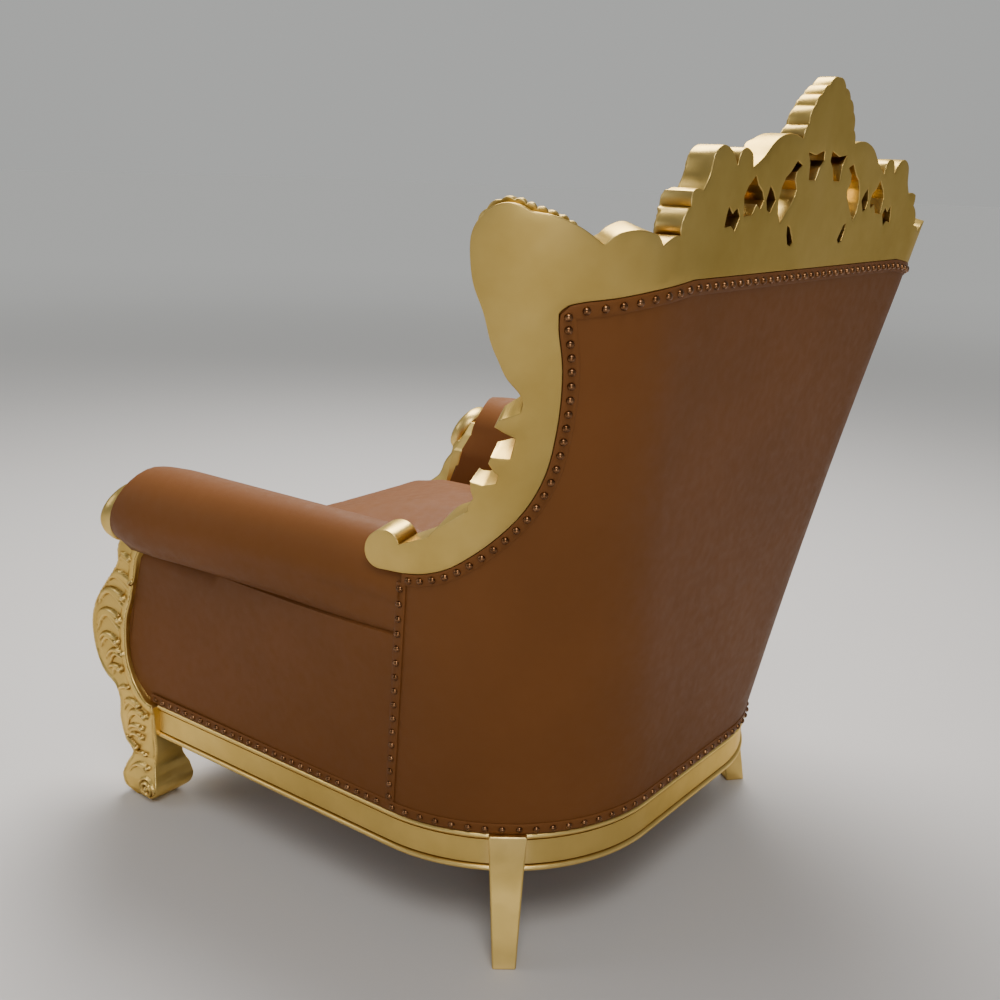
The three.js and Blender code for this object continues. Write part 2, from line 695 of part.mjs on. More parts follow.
// The round scroll in front of the arm roll, turned, with a sunk ring and a boss.
function volute(side) {
  const r = VOLUTE_R;
  const t = VOLUTE_THICK;
  const turned = [
    [0, 0], [r - 6, 0], [r - 1, 6], [r, t * 0.5], [r - 4, t - 5], [r - 10, t], [r - 17, t - 7],
    [r - 30, t - 8], [r - 40, t], [0, t + 5],
  ];
  const geometry = new THREE.LatheGeometry(turned.map(([a, b]) => new THREE.Vector2(a, b)), 20);
  geometry.scale(1, -1, 1);
  geometry.rotateX(-Math.atan(ROLL_TILT));
  geometry.translate(side * VOLUTE_X, rollFront(VOLUTE_Z) - GAP, VOLUTE_Z);
  return outward(weld(geometry));
}

// Acanthus leaves down the outer face of the post: (y, z), direction and size of each.
const POST_LEAVES = [
  [[-470, 500], 262, 70, 26, 0.35],
  [[-482, 440], 252, 82, 34, 0.5],
  [[-512, 400], 236, 74, 30, -0.5],
  [[-500, 372], 258, 86, 36, 0.5],
  [[-545, 338], 246, 62, 28, -0.6],
  [[-512, 300], 262, 76, 34, 0.5],
  [[-556, 292], 270, 50, 22, -0.5],
  [[-470, 216], 228, 70, 34, -0.7],
  [[-452, 196], 244, 88, 38, -0.4],
  [[-466, 120], 262, 56, 28, 0.3],
];

function postLeaves(side) {
  return POST_LEAVES.map(([at, deg, length, width, curl]) => leafRelief({
    at, angle: rad(deg), length, width, height: POST_RELIEF, curl, root: 12,
    place: (y, z, h) => [side * (POST_OUT - 2 + h), y, z],
  }));
}

// Rail section: distance behind the outer face, and height.
const RAIL_SECTION = [
  [0, RAIL_TOP], [0, RAIL_TOP - RAIL_BEAD], [RAIL_SINK, RAIL_TOP - RAIL_BEAD - 3],
  [RAIL_SINK, RAIL_BOTTOM + RAIL_BEAD + 3], [0, RAIL_BOTTOM + RAIL_BEAD], [0, RAIL_BOTTOM],
  [RAIL_THICK, RAIL_BOTTOM], [RAIL_THICK, RAIL_TOP],
];

// A stretch of rail round the base of the tub, from u = a to u = b.
function railAround(stops) {
  const at = (u, d, z) => {
    const [x, y] = onTub(u, RAIL_TOP, d);
    return [x, y, z];
  };
  return loftRings(stops.map((u) => RAIL_SECTION.map(([d, z]) => at(u, d, z))));
}

const stepsBetween = (a, b, count) => Array.from({ length: count + 1 }, (_, k) => mix(a, b, k / count));

// Where the rear leg stands: u round the tub at the rail.
const LEG_U = BASE_W - BASE_R + BASE_R * rad(LEG_PHI);

function rearLeg(side, grow = 0) {
  const [cx, cy] = onTub(side * LEG_U, RAIL_TOP, 0);
  const out = new THREE.Vector2(side * Math.sin(rad(LEG_PHI)), Math.cos(rad(LEG_PHI)));
  const along = new THREE.Vector2(-out.y, out.x);
  const corner = (width, depthOut, depthIn, z, shift) => [[1, 1], [-1, 1], [-1, 0], [1, 0]].map(([w, d]) => {
    const o = (d ? depthOut : -depthIn) + shift;
    return [
      cx + out.x * o + (along.x * w * width) / 2,
      cy + out.y * o + (along.y * w * width) / 2,
      z,
    ];
  });
  const rings = [];
  const heights = [[0, 1], [45, 0.72], [90, 0.42], [142, 0.1], [RAIL_TOP, 0]];
  for (const [z, share] of heights) {
    const width = mix(LEG_WIDTH, LEG_WIDTH_FLOOR, (RAIL_TOP - z) / RAIL_TOP) + grow * 2;
    const depth = mix(LEG_DEPTH, LEG_WIDTH_FLOOR, share);
    const level = z === RAIL_TOP ? z + grow : z;
    rings.push(corner(width, LEG_PROUD + grow, depth - LEG_PROUD + grow, level, LEG_SPLAY * share));
  }
  return loftRings(rings);
}

function sideRail(side) {
  const start = cornerEnd(RAIL_TOP) + BASE_B - BASE_R - POST_BACK - GAP;
  const stops = [start, ...stepsBetween(cornerEnd(RAIL_TOP), LEG_U, 6)];
  const rail = toSolid(railAround(stops.map((u) => side * u)));
  return fromSolid(rail.subtract(toSolid(rearLeg(side, GAP))));
}

function backRail() {
  const flat = BASE_W - BASE_R;
  const right = stepsBetween(flat, LEG_U, 6);
  const stops = [...right.map((u) => -u).reverse(), ...right];
  const rail = toSolid(railAround(stops));
  return fromSolid(rail.subtract(toSolid(rearLeg(1, GAP))).subtract(toSolid(rearLeg(-1, GAP))));
}

// The front rail: a bowed apron with a shell at its middle.
function frontRail() {
  const half = POST_IN - 6 - GAP;
  const STEPS = 24;
  const faceAt = (x) => APRON_Y - APRON_BOW * Math.cos((x / half) * Math.PI * 0.5) ** 2;
  const bottomAt = (x) => {
    const turn = (x / half) * Math.PI;
    return APRON_LOW - APRON_DROP * Math.cos(turn / 2) ** 4 + APRON_WAVE * Math.cos(3 * turn);
  };
  const rings = stepsBetween(-half, half, STEPS).map((x) => {
    const face = faceAt(x);
    const low = bottomAt(x);
    return [[face, RAIL_TOP], [face, low], [face + RAIL_THICK, low], [face + RAIL_THICK, RAIL_TOP]]
      .map(([y, z]) => [x, y, z]);
  });
  let solid = toSolid(loftRings(rings));
  const place = (x, z, h) => [x, faceAt(x) - h, z];
  for (const deg of [-150, -120, -90, -60, -30, 0, 180]) {
    solid = solid.add(toSolid(leafRelief({
      at: [0, 176], angle: rad(deg), length: 54, width: 17, height: 7, place,
    })));
  }
  for (const side of [1, -1]) {
    const angle = side > 0 ? rad(-8) : Math.PI + rad(8);
    for (const x of [66, 170]) {
      solid = solid.add(toSolid(leafRelief({
        at: [side * x, 172], angle, length: 96, width: 30, height: 7, curl: side * 0.3, place,
      })));
    }
  }
  return fromSolid(solid);
}

// The seat deck: a firm leather-covered platform between the arms.
function seatDeck() {
  const ring = (z) => {
    const points = [[-DECK_HALF, DECK_FRONT, z]];
    const { W, R } = tubPlan(z);
    for (const u of stepsBetween(-(W - R + (R * Math.PI) / 2), W - R + (R * Math.PI) / 2, 22)) {
      const [x, y] = onTub(u, z, WALL_LOW + 1);
      points.push([clamp(x, -DECK_HALF, DECK_HALF), y, z]);
    }
    points.push([DECK_HALF, DECK_FRONT, z]);
    return points;
  };
  return loftRings([ring(RAIL_TOP + GAP), ring((RAIL_TOP + DECK_TOP) / 2), ring(DECK_TOP)]);
}

// The loose cushion: boxed edge, round rear corners, full crown.
function seatCushion() {
  const CORNER = 170;
  const FRONT_CORNER = 26;
  const centre = (CUSHION_FRONT + CUSHION_REAR) / 2;
  const reach = (CUSHION_REAR - CUSHION_FRONT) / 2;
  const rim = [];
  const arc = (cx, cy, r, from, to, steps) => {
    for (let k = 0; k <= steps; k++) {
      const a = rad(mix(from, to, k / steps));
      rim.push([cx + r * Math.cos(a), cy + r * Math.sin(a)]);
    }
  };
  const half = CUSHION_HALF;
  arc(half - FRONT_CORNER, CUSHION_FRONT + FRONT_CORNER, FRONT_CORNER, -90, 0, 3);
  arc(half - CORNER, CUSHION_REAR - CORNER, CORNER, 0, 90, 7);
  arc(-half + CORNER, CUSHION_REAR - CORNER, CORNER, 90, 180, 7);
  arc(-half + FRONT_CORNER, CUSHION_FRONT + FRONT_CORNER, FRONT_CORNER, 180, 270, 3);
  const level = (share, z) => rim.map(([x, y]) => [x * share, centre + (y - centre) * share, z]);
  const crown = (share) => {
    const fall = (x, y) => (1 - (x / half) ** 2) * (1 - Math.abs((y - centre) / reach) ** 3);
    return rim.map(([x, y]) => {
      const [a, b] = [x * share, centre + (y - centre) * share];
      return [a, b, mix(CUSHION_EDGE, CUSHION_CROWN, clamp(fall(a, b), 0, 1))];
    });
  };
  return loftRings([
    level(0.975, DECK_TOP + GAP), level(1, DECK_TOP + 22), level(1, CUSHION_EDGE - 20),
    level(0.985, CUSHION_EDGE), ...[0.9, 0.72, 0.45, 0.15].map(crown),
  ]);
}

// ---------------------------------------------------------------- assembly

const throne = new THREE.Group();

function addPiece(name, geometry, material) {
  const mesh = new THREE.Mesh(geometry, material);
  mesh.name = name;
  throne.add(mesh);
}

addPiece('crest_frame', crestFrame(), GOLD);
addPiece('tub_upholstery', tubUpholstery(), LEATHER);
const clearance = boardClearance();
for (const [name, side] of [['left', 1], ['right', -1]]) {
  addPiece(`arm_${name}`, armUpholstery(side, clearance), LEATHER);
  addPiece(`front_post_${name}`, frontPost(side), GOLD);
  addPiece(`side_rail_${name}`, sideRail(side), GOLD);
  addPiece(`rear_leg_${name}`, rearLeg(side), GOLD);
}
addPiece('back_rail', backRail(), GOLD);
addPiece('front_rail', frontRail(), GOLD);
addPiece('seat_deck', seatDeck(), LEATHER);
addPiece('seat_cushion', seatCushion(), LEATHER);

export default throne;
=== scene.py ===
# %% [markdown]
# # A carved, gilded and leather-covered throne
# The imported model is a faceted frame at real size. This lesson dresses it: carved wood with gold leaf
# on it, leather that is stretched, padded and nailed, and one loose crowned cushion. Every piece
# stands where the frame says, so nothing is fitted by eye.

import math

import bpy
import numpy as np
from mathutils import Matrix, Vector
from mathutils.geometry import delaunay_2d_cdt
from mathutils.kdtree import KDTree


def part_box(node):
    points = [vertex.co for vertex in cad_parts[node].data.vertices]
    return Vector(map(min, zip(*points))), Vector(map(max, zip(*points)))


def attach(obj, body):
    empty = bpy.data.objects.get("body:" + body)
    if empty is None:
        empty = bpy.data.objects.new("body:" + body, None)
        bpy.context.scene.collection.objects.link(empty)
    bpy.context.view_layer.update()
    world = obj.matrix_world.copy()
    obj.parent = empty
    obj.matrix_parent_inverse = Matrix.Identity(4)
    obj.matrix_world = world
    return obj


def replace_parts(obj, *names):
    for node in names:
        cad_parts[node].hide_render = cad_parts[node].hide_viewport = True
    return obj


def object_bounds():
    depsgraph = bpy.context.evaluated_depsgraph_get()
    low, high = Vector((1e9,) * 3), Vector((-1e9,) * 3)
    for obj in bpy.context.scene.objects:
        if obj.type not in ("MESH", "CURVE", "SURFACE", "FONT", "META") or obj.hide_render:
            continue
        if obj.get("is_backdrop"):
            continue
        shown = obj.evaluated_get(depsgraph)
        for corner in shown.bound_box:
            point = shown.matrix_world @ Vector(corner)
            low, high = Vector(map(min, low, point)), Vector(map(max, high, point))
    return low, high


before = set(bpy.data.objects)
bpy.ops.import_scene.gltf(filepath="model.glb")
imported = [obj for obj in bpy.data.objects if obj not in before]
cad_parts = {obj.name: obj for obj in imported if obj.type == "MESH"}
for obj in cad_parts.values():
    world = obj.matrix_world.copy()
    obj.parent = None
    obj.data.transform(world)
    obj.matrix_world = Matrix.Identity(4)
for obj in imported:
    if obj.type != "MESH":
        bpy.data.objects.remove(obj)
cad_box = [list(corner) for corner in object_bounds()]
print("frame:", sorted(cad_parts))

# %% [markdown]
# ## Camera, light and floor
# The throne is seen from behind its left side, from just above the crest's height, as a customer
# walks round it. Three named angles turn the camera: its heading, how far it looks down, and a roll.

# %% Camera
CAMERA_AT = Vector((1.6486, 1.2572, 1.1612))
CAMERA_HEADING = math.radians(126.66)
CAMERA_DOWN = math.radians(15.5)
CAMERA_ROLL = math.radians(2.09)
LENS_MM = 42.78


def camera_turn(heading, down, roll):
    """The camera's orientation: its right, its up and its back, as columns."""
    ahead = Vector((-math.sin(heading), math.cos(heading), 0))
    forward = ahead * math.cos(down) - Vector((0, 0, math.sin(down)))
    level = Vector((math.cos(heading), math.sin(heading), 0))
    upright = level.cross(forward)
    right = level * math.cos(roll) + upright * math.sin(roll)
    up = upright * math.cos(roll) - level * math.sin(roll)
    return Matrix((right, up, -forward)).transposed()


bpy.ops.object.camera_add(location=CAMERA_AT)
camera = bpy.context.object
camera.rotation_euler = camera_turn(CAMERA_HEADING, CAMERA_DOWN, CAMERA_ROLL).to_euler()
camera.data.lens = LENS_MM
bpy.context.scene.camera = camera
print("camera at", tuple(round(c, 2) for c in camera.location))

# %% [markdown]
# The light is that of a bright showroom: a wide soft panel overhead, a second one beyond the far arm
# that rakes along the crest's edges, and weak ones in front, above and low beside the camera.
# Gilding shows only what it reflects, so the world around is a pale grey, brighter towards the far
# wall, rather than black.

# %% Lights and floor
LIT_POINT = Vector((0, 0, 0.6))
TO_FAR_WALL = (-0.74, -0.62, 0.26)
WALL_COLOUR = (0.86, 0.87, 0.85, 1)


def area_light(name, at, size, power, colour=(1, 1, 1)):
    bpy.ops.object.light_add(type="AREA", location=at)
    lamp = bpy.context.object
    lamp.name = name
    lamp.data.size = size
    lamp.data.energy = power
    lamp.data.color = colour
    lamp.rotation_euler = (LIT_POINT - Vector(at)).to_track_quat("-Z", "Y").to_euler()


# name, place in metres, size in metres, watts, colour
area_light("overhead_panel", (-0.8, -0.6, 3.1), 1.8, 150, (1.0, 0.97, 0.93))
area_light("far_window", (-2.2, -1.8, 3.0), 1.8, 48, (1.0, 0.98, 0.95))
area_light("front_window", (2.3, -2.4, 1.9), 1.4, 16)
area_light("ceiling_fill", (2.0, 1.8, 3.4), 1.6, 62, (1.0, 0.98, 0.95))
area_light("low_panel", (2.5, 2.2, 0.70), 1.0, 18)

world = bpy.data.worlds.new("showroom")
world.use_nodes = True
backdrop = world.node_tree.nodes["Background"]
backdrop.inputs["Color"].default_value = WALL_COLOUR
bpy.context.scene.world = world

bpy.ops.mesh.primitive_plane_add(size=160, location=(0, 0, 0))
floor = bpy.context.object
floor.name = "studio_floor"
floor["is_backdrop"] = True

# %% [markdown]
# ## Finishes
# Three finishes make the throne. The gilding is real leaf over a red-brown ground: metallic, satin,
# a little uneven, with painted highlights along its raised edges, painted shade in its hollows that
# also stands for an antique wash, and painted light that makes it paler towards the floor. The leather
# is a chestnut hide with a fine grain and slow changes of tone. The nails are dark antique bronze. The
# floor fades into the pale surroundings, which are brighter towards the far wall; further out the floor
# glows faintly, which is painted light.

# %% Helpers for node materials
def new_material(name):
    material = bpy.data.materials.new(name)
    material.use_nodes = True
    return material, material.node_tree


def add_node(tree, kind, inputs=(), **settings):
    """One node with its settings and its unlinked input values."""
    node = tree.nodes.new(kind)
    for key, value in settings.items():
        setattr(node, key, value)
    for key, value in dict(inputs).items():
        node.inputs[key].default_value = value
    return node


def colour_ramp(tree, source, stops):
    ramp = tree.nodes.new("ShaderNodeValToRGB")
    ramp.color_ramp.elements[0].position = stops[0][0]
    ramp.color_ramp.elements[0].color = stops[0][1]
    ramp.color_ramp.elements[1].position = stops[-1][0]
    ramp.color_ramp.elements[1].color = stops[-1][1]
    for position, colour in stops[1:-1]:
        ramp.color_ramp.elements.new(position).color = colour
    tree.links.new(source, ramp.inputs["Fac"])
    return ramp.outputs["Color"]


def noise(tree, place, scale, detail=3.0, roughness=0.5):
    node = add_node(tree, "ShaderNodeTexNoise", {"Scale": scale, "Detail": detail, "Roughness": roughness})
    tree.links.new(place, node.inputs["Vector"])
    return node.outputs["Fac"]


def map_range(tree, source, low, high, new_low, new_high):
    node = add_node(tree, "ShaderNodeMapRange", {
        "From Min": low, "From Max": high, "To Min": new_low, "To Max": new_high})
    tree.links.new(source, node.inputs["Value"])
    return node.outputs["Result"]


def bump(tree, height, strength, distance, before=None):
    node = add_node(tree, "ShaderNodeBump", {"Strength": strength, "Distance": distance})
    tree.links.new(height, node.inputs["Height"])
    if before:
        tree.links.new(before, node.inputs["Normal"])
    return node.outputs["Normal"]


def object_place(tree):
    return tree.nodes.new("ShaderNodeTexCoord").outputs["Object"]


# %% Gold leaf
def gold_leaf():
    material, tree = new_material("gold_leaf")
    shader = tree.nodes["Principled BSDF"]
    shader.inputs["Metallic"].default_value = 1.0
    shader.inputs["Specular Tint"].default_value = (1.0, 0.86, 0.58, 1)
    place = object_place(tree)
    tone = colour_ramp(tree, noise(tree, place, 6, 4, 0.6), [
        (0.30, (0.550, 0.375, 0.100, 1)), (0.52, (0.620, 0.435, 0.128, 1)),
        (0.74, (0.680, 0.490, 0.165, 1))])
    # brightened along raised edges as a painted highlight, darkened in the hollows by ambient occlusion as
    # painted shade that also stands for an antique wash, and paler towards the floor as painted light
    pointiness = tree.nodes.new("ShaderNodeNewGeometry").outputs["Pointiness"]
    # painted highlight: the sharpest raised edges are mixed towards a bright gold
    painted_edge_highlight = add_node(tree, "ShaderNodeMix", {"B": (0.860, 0.660, 0.290, 1)}, data_type="RGBA")
    tree.links.new(map_range(tree, pointiness, 0.515, 0.60, 0, 0.8), painted_edge_highlight.inputs["Factor"])
    tree.links.new(tone, painted_edge_highlight.inputs["A"])
    # painted shade: hollows found by ambient occlusion are mixed towards dark brown, which also stands for an
    # antique wash
    occlusion_shade = add_node(tree, "ShaderNodeAmbientOcclusion", {"Distance": 0.030}, samples=8, only_local=True)
    shade_and_wash = add_node(tree, "ShaderNodeMix", {"A": (0.230, 0.120, 0.030, 1)}, data_type="RGBA")
    tree.links.new(map_range(tree, occlusion_shade.outputs["AO"], 0.42, 0.95, 0, 1), shade_and_wash.inputs["Factor"])
    tree.links.new(painted_edge_highlight.outputs["Result"], shade_and_wash.inputs["B"])
    # painted light: the gold is scaled brighter low down and darker high up
    axes = tree.nodes.new("ShaderNodeSeparateXYZ")
    tree.links.new(place, axes.inputs[0])
    painted_height_light = add_node(tree, "ShaderNodeVectorMath", operation="SCALE")
    tree.links.new(shade_and_wash.outputs["Result"], painted_height_light.inputs[0])
    tree.links.new(map_range(tree, axes.outputs["Z"], 0.20, 0.80, 1.20, 0.84), painted_height_light.inputs["Scale"])
    tree.links.new(painted_height_light.outputs["Vector"], shader.inputs["Base Color"])
    satin = map_range(tree, noise(tree, place, 34, 4), 0.3, 0.7, 0.30, 0.42)
    tree.links.new(satin, shader.inputs["Roughness"])
    brushed = bump(tree, noise(tree, place, 420, 3), 0.05, 0.0006)
    tree.links.new(bump(tree, noise(tree, place, 24, 2), 0.12, 0.004, brushed), shader.inputs["Normal"])
    return material


GOLD = gold_leaf()
print("finish:", GOLD.name)


# %% Leather
def chestnut_hide():
    material, tree = new_material("chestnut_hide")
    shader = tree.nodes["Principled BSDF"]
    shader.inputs["Specular IOR Level"].default_value = 0.13
    place = object_place(tree)
    tone = colour_ramp(tree, noise(tree, place, 3.2, 5, 0.55), [
        (0.28, (0.132, 0.047, 0.0105, 1)), (0.5, (0.146, 0.052, 0.012, 1)),
        (0.74, (0.160, 0.058, 0.014, 1))])
    tree.links.new(tone, shader.inputs["Base Color"])
    satin = map_range(tree, noise(tree, place, 60, 3), 0.3, 0.7, 0.50, 0.62)
    tree.links.new(satin, shader.inputs["Roughness"])
    pebble = add_node(tree, "ShaderNodeTexVoronoi", {"Scale": 640.0}, feature="DISTANCE_TO_EDGE")
    tree.links.new(place, pebble.inputs["Vector"])
    grain = map_range(tree, pebble.outputs["Distance"], 0, 0.16, 0, 1)
    fine = bump(tree, grain, 0.16, 0.0006)
    creased = bump(tree, noise(tree, place, 95, 4, 0.62), 0.10, 0.0015, fine)
    tree.links.new(bump(tree, noise(tree, place, 9, 2), 0.16, 0.008, creased), shader.inputs["Normal"])
    return material


HIDE = chestnut_hide()
print("finish:", HIDE.name)


# %% Bronze nail heads, the pale floor and the pale surroundings
def antique_bronze():
    material, tree = new_material("antique_bronze")
    shader = tree.nodes["Principled BSDF"]
    shader.inputs["Metallic"].default_value = 1.0
    place = object_place(tree)
    tone = colour_ramp(tree, noise(tree, place, 140, 3), [
        (0.32, (0.120, 0.052, 0.020, 1)), (0.55, (0.200, 0.095, 0.042, 1)),
        (0.75, (0.300, 0.155, 0.075, 1))])
    tree.links.new(tone, shader.inputs["Base Color"])
    polish = map_range(tree, noise(tree, place, 300, 2), 0.3, 0.7, 0.20, 0.32)
    tree.links.new(polish, shader.inputs["Roughness"])
    return material


def pale_floor():
    material, tree = new_material("pale_floor")
    shader = tree.nodes["Principled BSDF"]
    shader.inputs["Roughness"].default_value = 0.85
    place = object_place(tree)
    away = add_node(tree, "ShaderNodeVectorMath", operation="LENGTH")
    tree.links.new(place, away.inputs[0])
    tone = colour_ramp(tree, map_range(tree, away.outputs["Value"], 1.5, 12, 0, 1), [
        (0.0, (0.560, 0.540, 0.530, 1)), (1.0, (0.930, 0.925, 0.915, 1))])
    tree.links.new(tone, shader.inputs["Base Color"])
    # painted light: further from the throne the floor glows faintly in the wall's colour, so that it blends
    # into the backdrop
    shader.inputs["Emission Color"].default_value = WALL_COLOUR
    painted_far_glow = map_range(tree, away.outputs["Value"], 1.6, 9, 0, 0.17)
    tree.links.new(painted_far_glow, shader.inputs["Emission Strength"])
    return material


def light_the_world(tree):
    """Makes the surroundings brighter towards the far wall."""
    direction = tree.nodes.new("ShaderNodeTexCoord").outputs["Generated"]
    towards_wall = add_node(tree, "ShaderNodeVectorMath", {1: TO_FAR_WALL}, operation="DOT_PRODUCT")
    tree.links.new(direction, towards_wall.inputs[0])
    glow = map_range(tree, towards_wall.outputs["Value"], 0.2, 0.95, 0.31, 0.52)
    tree.links.new(glow, tree.nodes["Background"].inputs["Strength"])


BRONZE = antique_bronze()
floor.data.materials.append(pale_floor())
light_the_world(world.node_tree)
print("finishes:", BRONZE.name, "and", floor.data.materials[0].name)

# %% [markdown]
# ## The tub: one bent surface that everything follows
# Seen from above the back is straight, turns a quarter circle at each corner and runs straight
# forwards along the arms; it also flares as it rises. A point on it is named by how far round it
# lies from the middle (u), its height (z) and its depth inside the outer face (d), in millimetres.
# Pieces are drawn flat in u and z and then bent, as a board is steamed and bent.

# %% Driving dimensions, in millimetres
RAIL_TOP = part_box("back_rail")[1][2] * 1000
RAIL_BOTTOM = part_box("back_rail")[0][2] * 1000
APEX_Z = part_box("crest_frame")[1][2] * 1000
DECK_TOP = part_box("seat_deck")[1][2] * 1000
LEATHER_LOW = RAIL_TOP + 0.4
RAIL_THICK = 32
# the tub's half width, corner radius and rear at the rail, and the same at the crest's foot
BASE_W, BASE_R, BASE_B = 429, 289, 446
CREST_Z, CREST_W, CREST_R, CREST_B = 1042, 605, 223, 571
TUB_BOW = 0.17
CREST_LEAN, WING_LEAN, WING_FLARE, CREST_TIGHTENS = 0.05, 0.174, 0.245, 0.08
WING_FROM, WING_BLEND = 330, 190
BOARD, BOARD_AT_APEX = 37, 27
SIDES = (("left", 1), ("right", -1))
print("rail", round(RAIL_BOTTOM), "to", round(RAIL_TOP), "mm, apex", round(APEX_Z), "mm")


# %% The bent surface
def mix(a, b, t):
    return a + (b - a) * t


def smooth(t):
    t = np.clip(t, 0, 1)
    return t * t * (3 - 2 * t)


def tub_plan(z, u):
    """Half width, corner radius and rear of the tub's plan at each height."""
    rise = (z - RAIL_TOP) / (CREST_Z - RAIL_TOP)
    bowed = rise - TUB_BOW * rise * (1 - rise)
    above = z - CREST_Z
    lean = mix(CREST_LEAN, WING_LEAN, smooth((np.abs(u) - WING_FROM) / WING_BLEND))
    half = np.where(rise > 1, CREST_W + WING_FLARE * above, mix(BASE_W, CREST_W, bowed))
    corner = np.where(rise > 1, CREST_R - CREST_TIGHTENS * above, mix(BASE_R, CREST_R, rise))
    rear = np.where(rise > 1, CREST_B + lean * above, mix(BASE_B, CREST_B, bowed))
    return half, corner, rear


def on_tub(u, z, d):
    """Points on the tub, as rows of x, y, z in millimetres."""
    u, z, d = np.broadcast_arrays(*(np.asarray(v, float) for v in (u, z, d)))
    half, corner, rear = tub_plan(z, u)
    flat = half - corner
    side = np.where(u < 0, -1.0, 1.0)
    along = np.abs(u)
    turn = np.clip((along - flat) / corner, 0, math.pi / 2)
    straight_on = np.maximum(along - flat - corner * math.pi / 2, 0)
    x = np.where(along <= flat, u, side * (flat + (corner - d) * np.sin(turn)))
    y = np.where(along <= flat, rear - d, rear - corner + (corner - d) * np.cos(turn) - straight_on)
    return np.stack([x, y, z], axis=-1)


def corner_end(z):
    """How far round the tub its corner ends and the arm begins."""
    half, corner, _ = tub_plan(z, 0)
    return half - corner + corner * math.pi / 2


# %% [markdown]
# ## Lines
# Carved outlines are drawn as a maker draws them on a template: a few named points joined by smooth
# curves, and rows of scallops struck between their cusps.

# %% Curves and scallops
def curve_through(points, step=5):
    """A smooth curve through a few points, sampled about every step millimetres."""
    p = [np.array(q, float) for q in points]
    p = [2 * p[0] - p[1]] + p + [2 * p[-1] - p[-2]]
    line = []
    for a, b, c, d in zip(p, p[1:], p[2:], p[3:]):
        count = max(2, round(np.linalg.norm(c - b) / step))
        for k in range(count):
            t = k / count
            line.append(0.5 * (2 * b + (c - a) * t + (2 * a - 5 * b + 4 * c - d) * t ** 2
                               + (3 * b - a - 3 * c + d) * t ** 3))
    return [tuple(q) for q in line + [p[-2]]]


def scallops(cusps, bulge, steps=6):
    """Round scallops between cusps; each bulges by its own share of its length."""
    line = []
    for a, b in zip(cusps, cusps[1:]):
        for k in range(steps):
            t = k / steps
            rise = -4 * bulge * t * (1 - t)
            line.append((mix(a[0], b[0], t) + (b[1] - a[1]) * rise,
                         mix(a[1], b[1], t) + (a[0] - b[0]) * rise))
    return line + [tuple(cusps[-1])]


def arc(centre, radius, start, end, steps):
    """Points round a centre, from one angle in degrees to another."""
    angles = np.radians(np.linspace(start, end, steps + 1))
    return [(centre[0] + radius * math.cos(a), centre[1] + radius * math.sin(a)) for a in angles]


def mirrored(line):
    return [(-a, b) for a, b in line]


def densify(loop, step):
    """A closed line with its straight stretches cut into equal short parts."""
    out = []
    for a, b in zip(loop, loop[1:] + loop[:1]):
        parts = max(1, math.ceil(math.dist(a, b) / step))
        out += [(mix(a[0], b[0], k / parts), mix(a[1], b[1], k / parts)) for k in range(parts)]
    return out


def even_steps(line, step):
    """Points about one step apart along an open line."""
    p = np.array(line, float)
    run = np.concatenate([[0], np.cumsum(np.linalg.norm(np.diff(p, axis=0), axis=1))])
    stops = np.linspace(0, run[-1], max(2, round(run[-1] / step) + 1))
    return np.stack([np.interp(stops, run, p[:, k]) for k in (0, 1)], axis=1)


def line_normals(line, closed=False):
    """Unit normals to the left of a line, one at each point."""
    p = np.array(line, float)
    ahead = np.roll(p, -1, axis=0)
    behind = np.roll(p, 1, axis=0)
    if not closed:
        ahead[-1], behind[0] = p[-1], p[0]
    along = ahead - behind
    along /= np.maximum(np.linalg.norm(along, axis=1, keepdims=True), 1e-9)
    return np.stack([-along[:, 1], along[:, 0]], axis=1)


def shifted(line, distance):
    """An open line moved to its left."""
    return [tuple(q) for q in np.array(line) + line_normals(line) * distance]


# %% The crest's outline
PALMETTE = [(0, APEX_Z), (28, 1288), (50, 1275), (68, 1259), (80, 1235), (91, 1216)]
SHOULDER = [(91, 1216), (113, 1220), (140, 1220), (172, 1211), (202, 1190), (230, 1176)]
PETAL_IN = [(230, 1176), (236, 1192), (254, 1199), (268, 1193), (274, 1177)]
PETAL_OUT = [(274, 1177), (290, 1193), (314, 1200), (335, 1190), (343, 1165), (356, 1147)]
STAIRS = [(356, 1147), (384, 1146), (384, 1129), (402, 1110), (401, 1096), (434, 1085)]
WING_LOBE = [(434, 1085), (448, 1097), (480, 1103), (507, 1099), (522, 1087)]
EAR_TOP = [(522, 1087), (553, 1104), (585, 1116), (613, 1120)]
EAR = [
    (613, 1120), (630, 1127), (648, 1128), (664, 1119), (673, 1100), (671, 1078), (657, 1040),
    (634, 1004), (616, 970), (600, 947), (585, 927), (564, 908), (556, 895),
]
POINTED_LEAVES = [
    (556, 895), (556, 884), (568, 878), (579, 874), (582, 864), (566, 856), (552, 850),
    (551, 841), (551, 823), (565, 823), (575, 824), (576, 815), (567, 805), (559, 799),
    (559, 788), (575, 784), (592, 788), (588, 775), (582, 765),
]
ARM_STEPS = [(582, 765), (586, 753), (584, 746), (600, 732), (621, 713), (628, 700), (661, 681)]
SCROLL, SCROLL_R, SCROLL_TURN = (699, 662), 31.5, (150, -97)
LEATHER_LINE = [
    (655, 634), (622, 641), (589, 656), (561, 681), (536, 711), (516, 744), (505, 777),
    (501, 812), (504, 853), (511, 896), (521, 935), (531, 962), (541, 985), (548, 1007),
]
UNDER_CREST = [(548, 1007), (541, 1016), (520, 1021), (484, 1025), (428, 1033), (350, CREST_Z)]


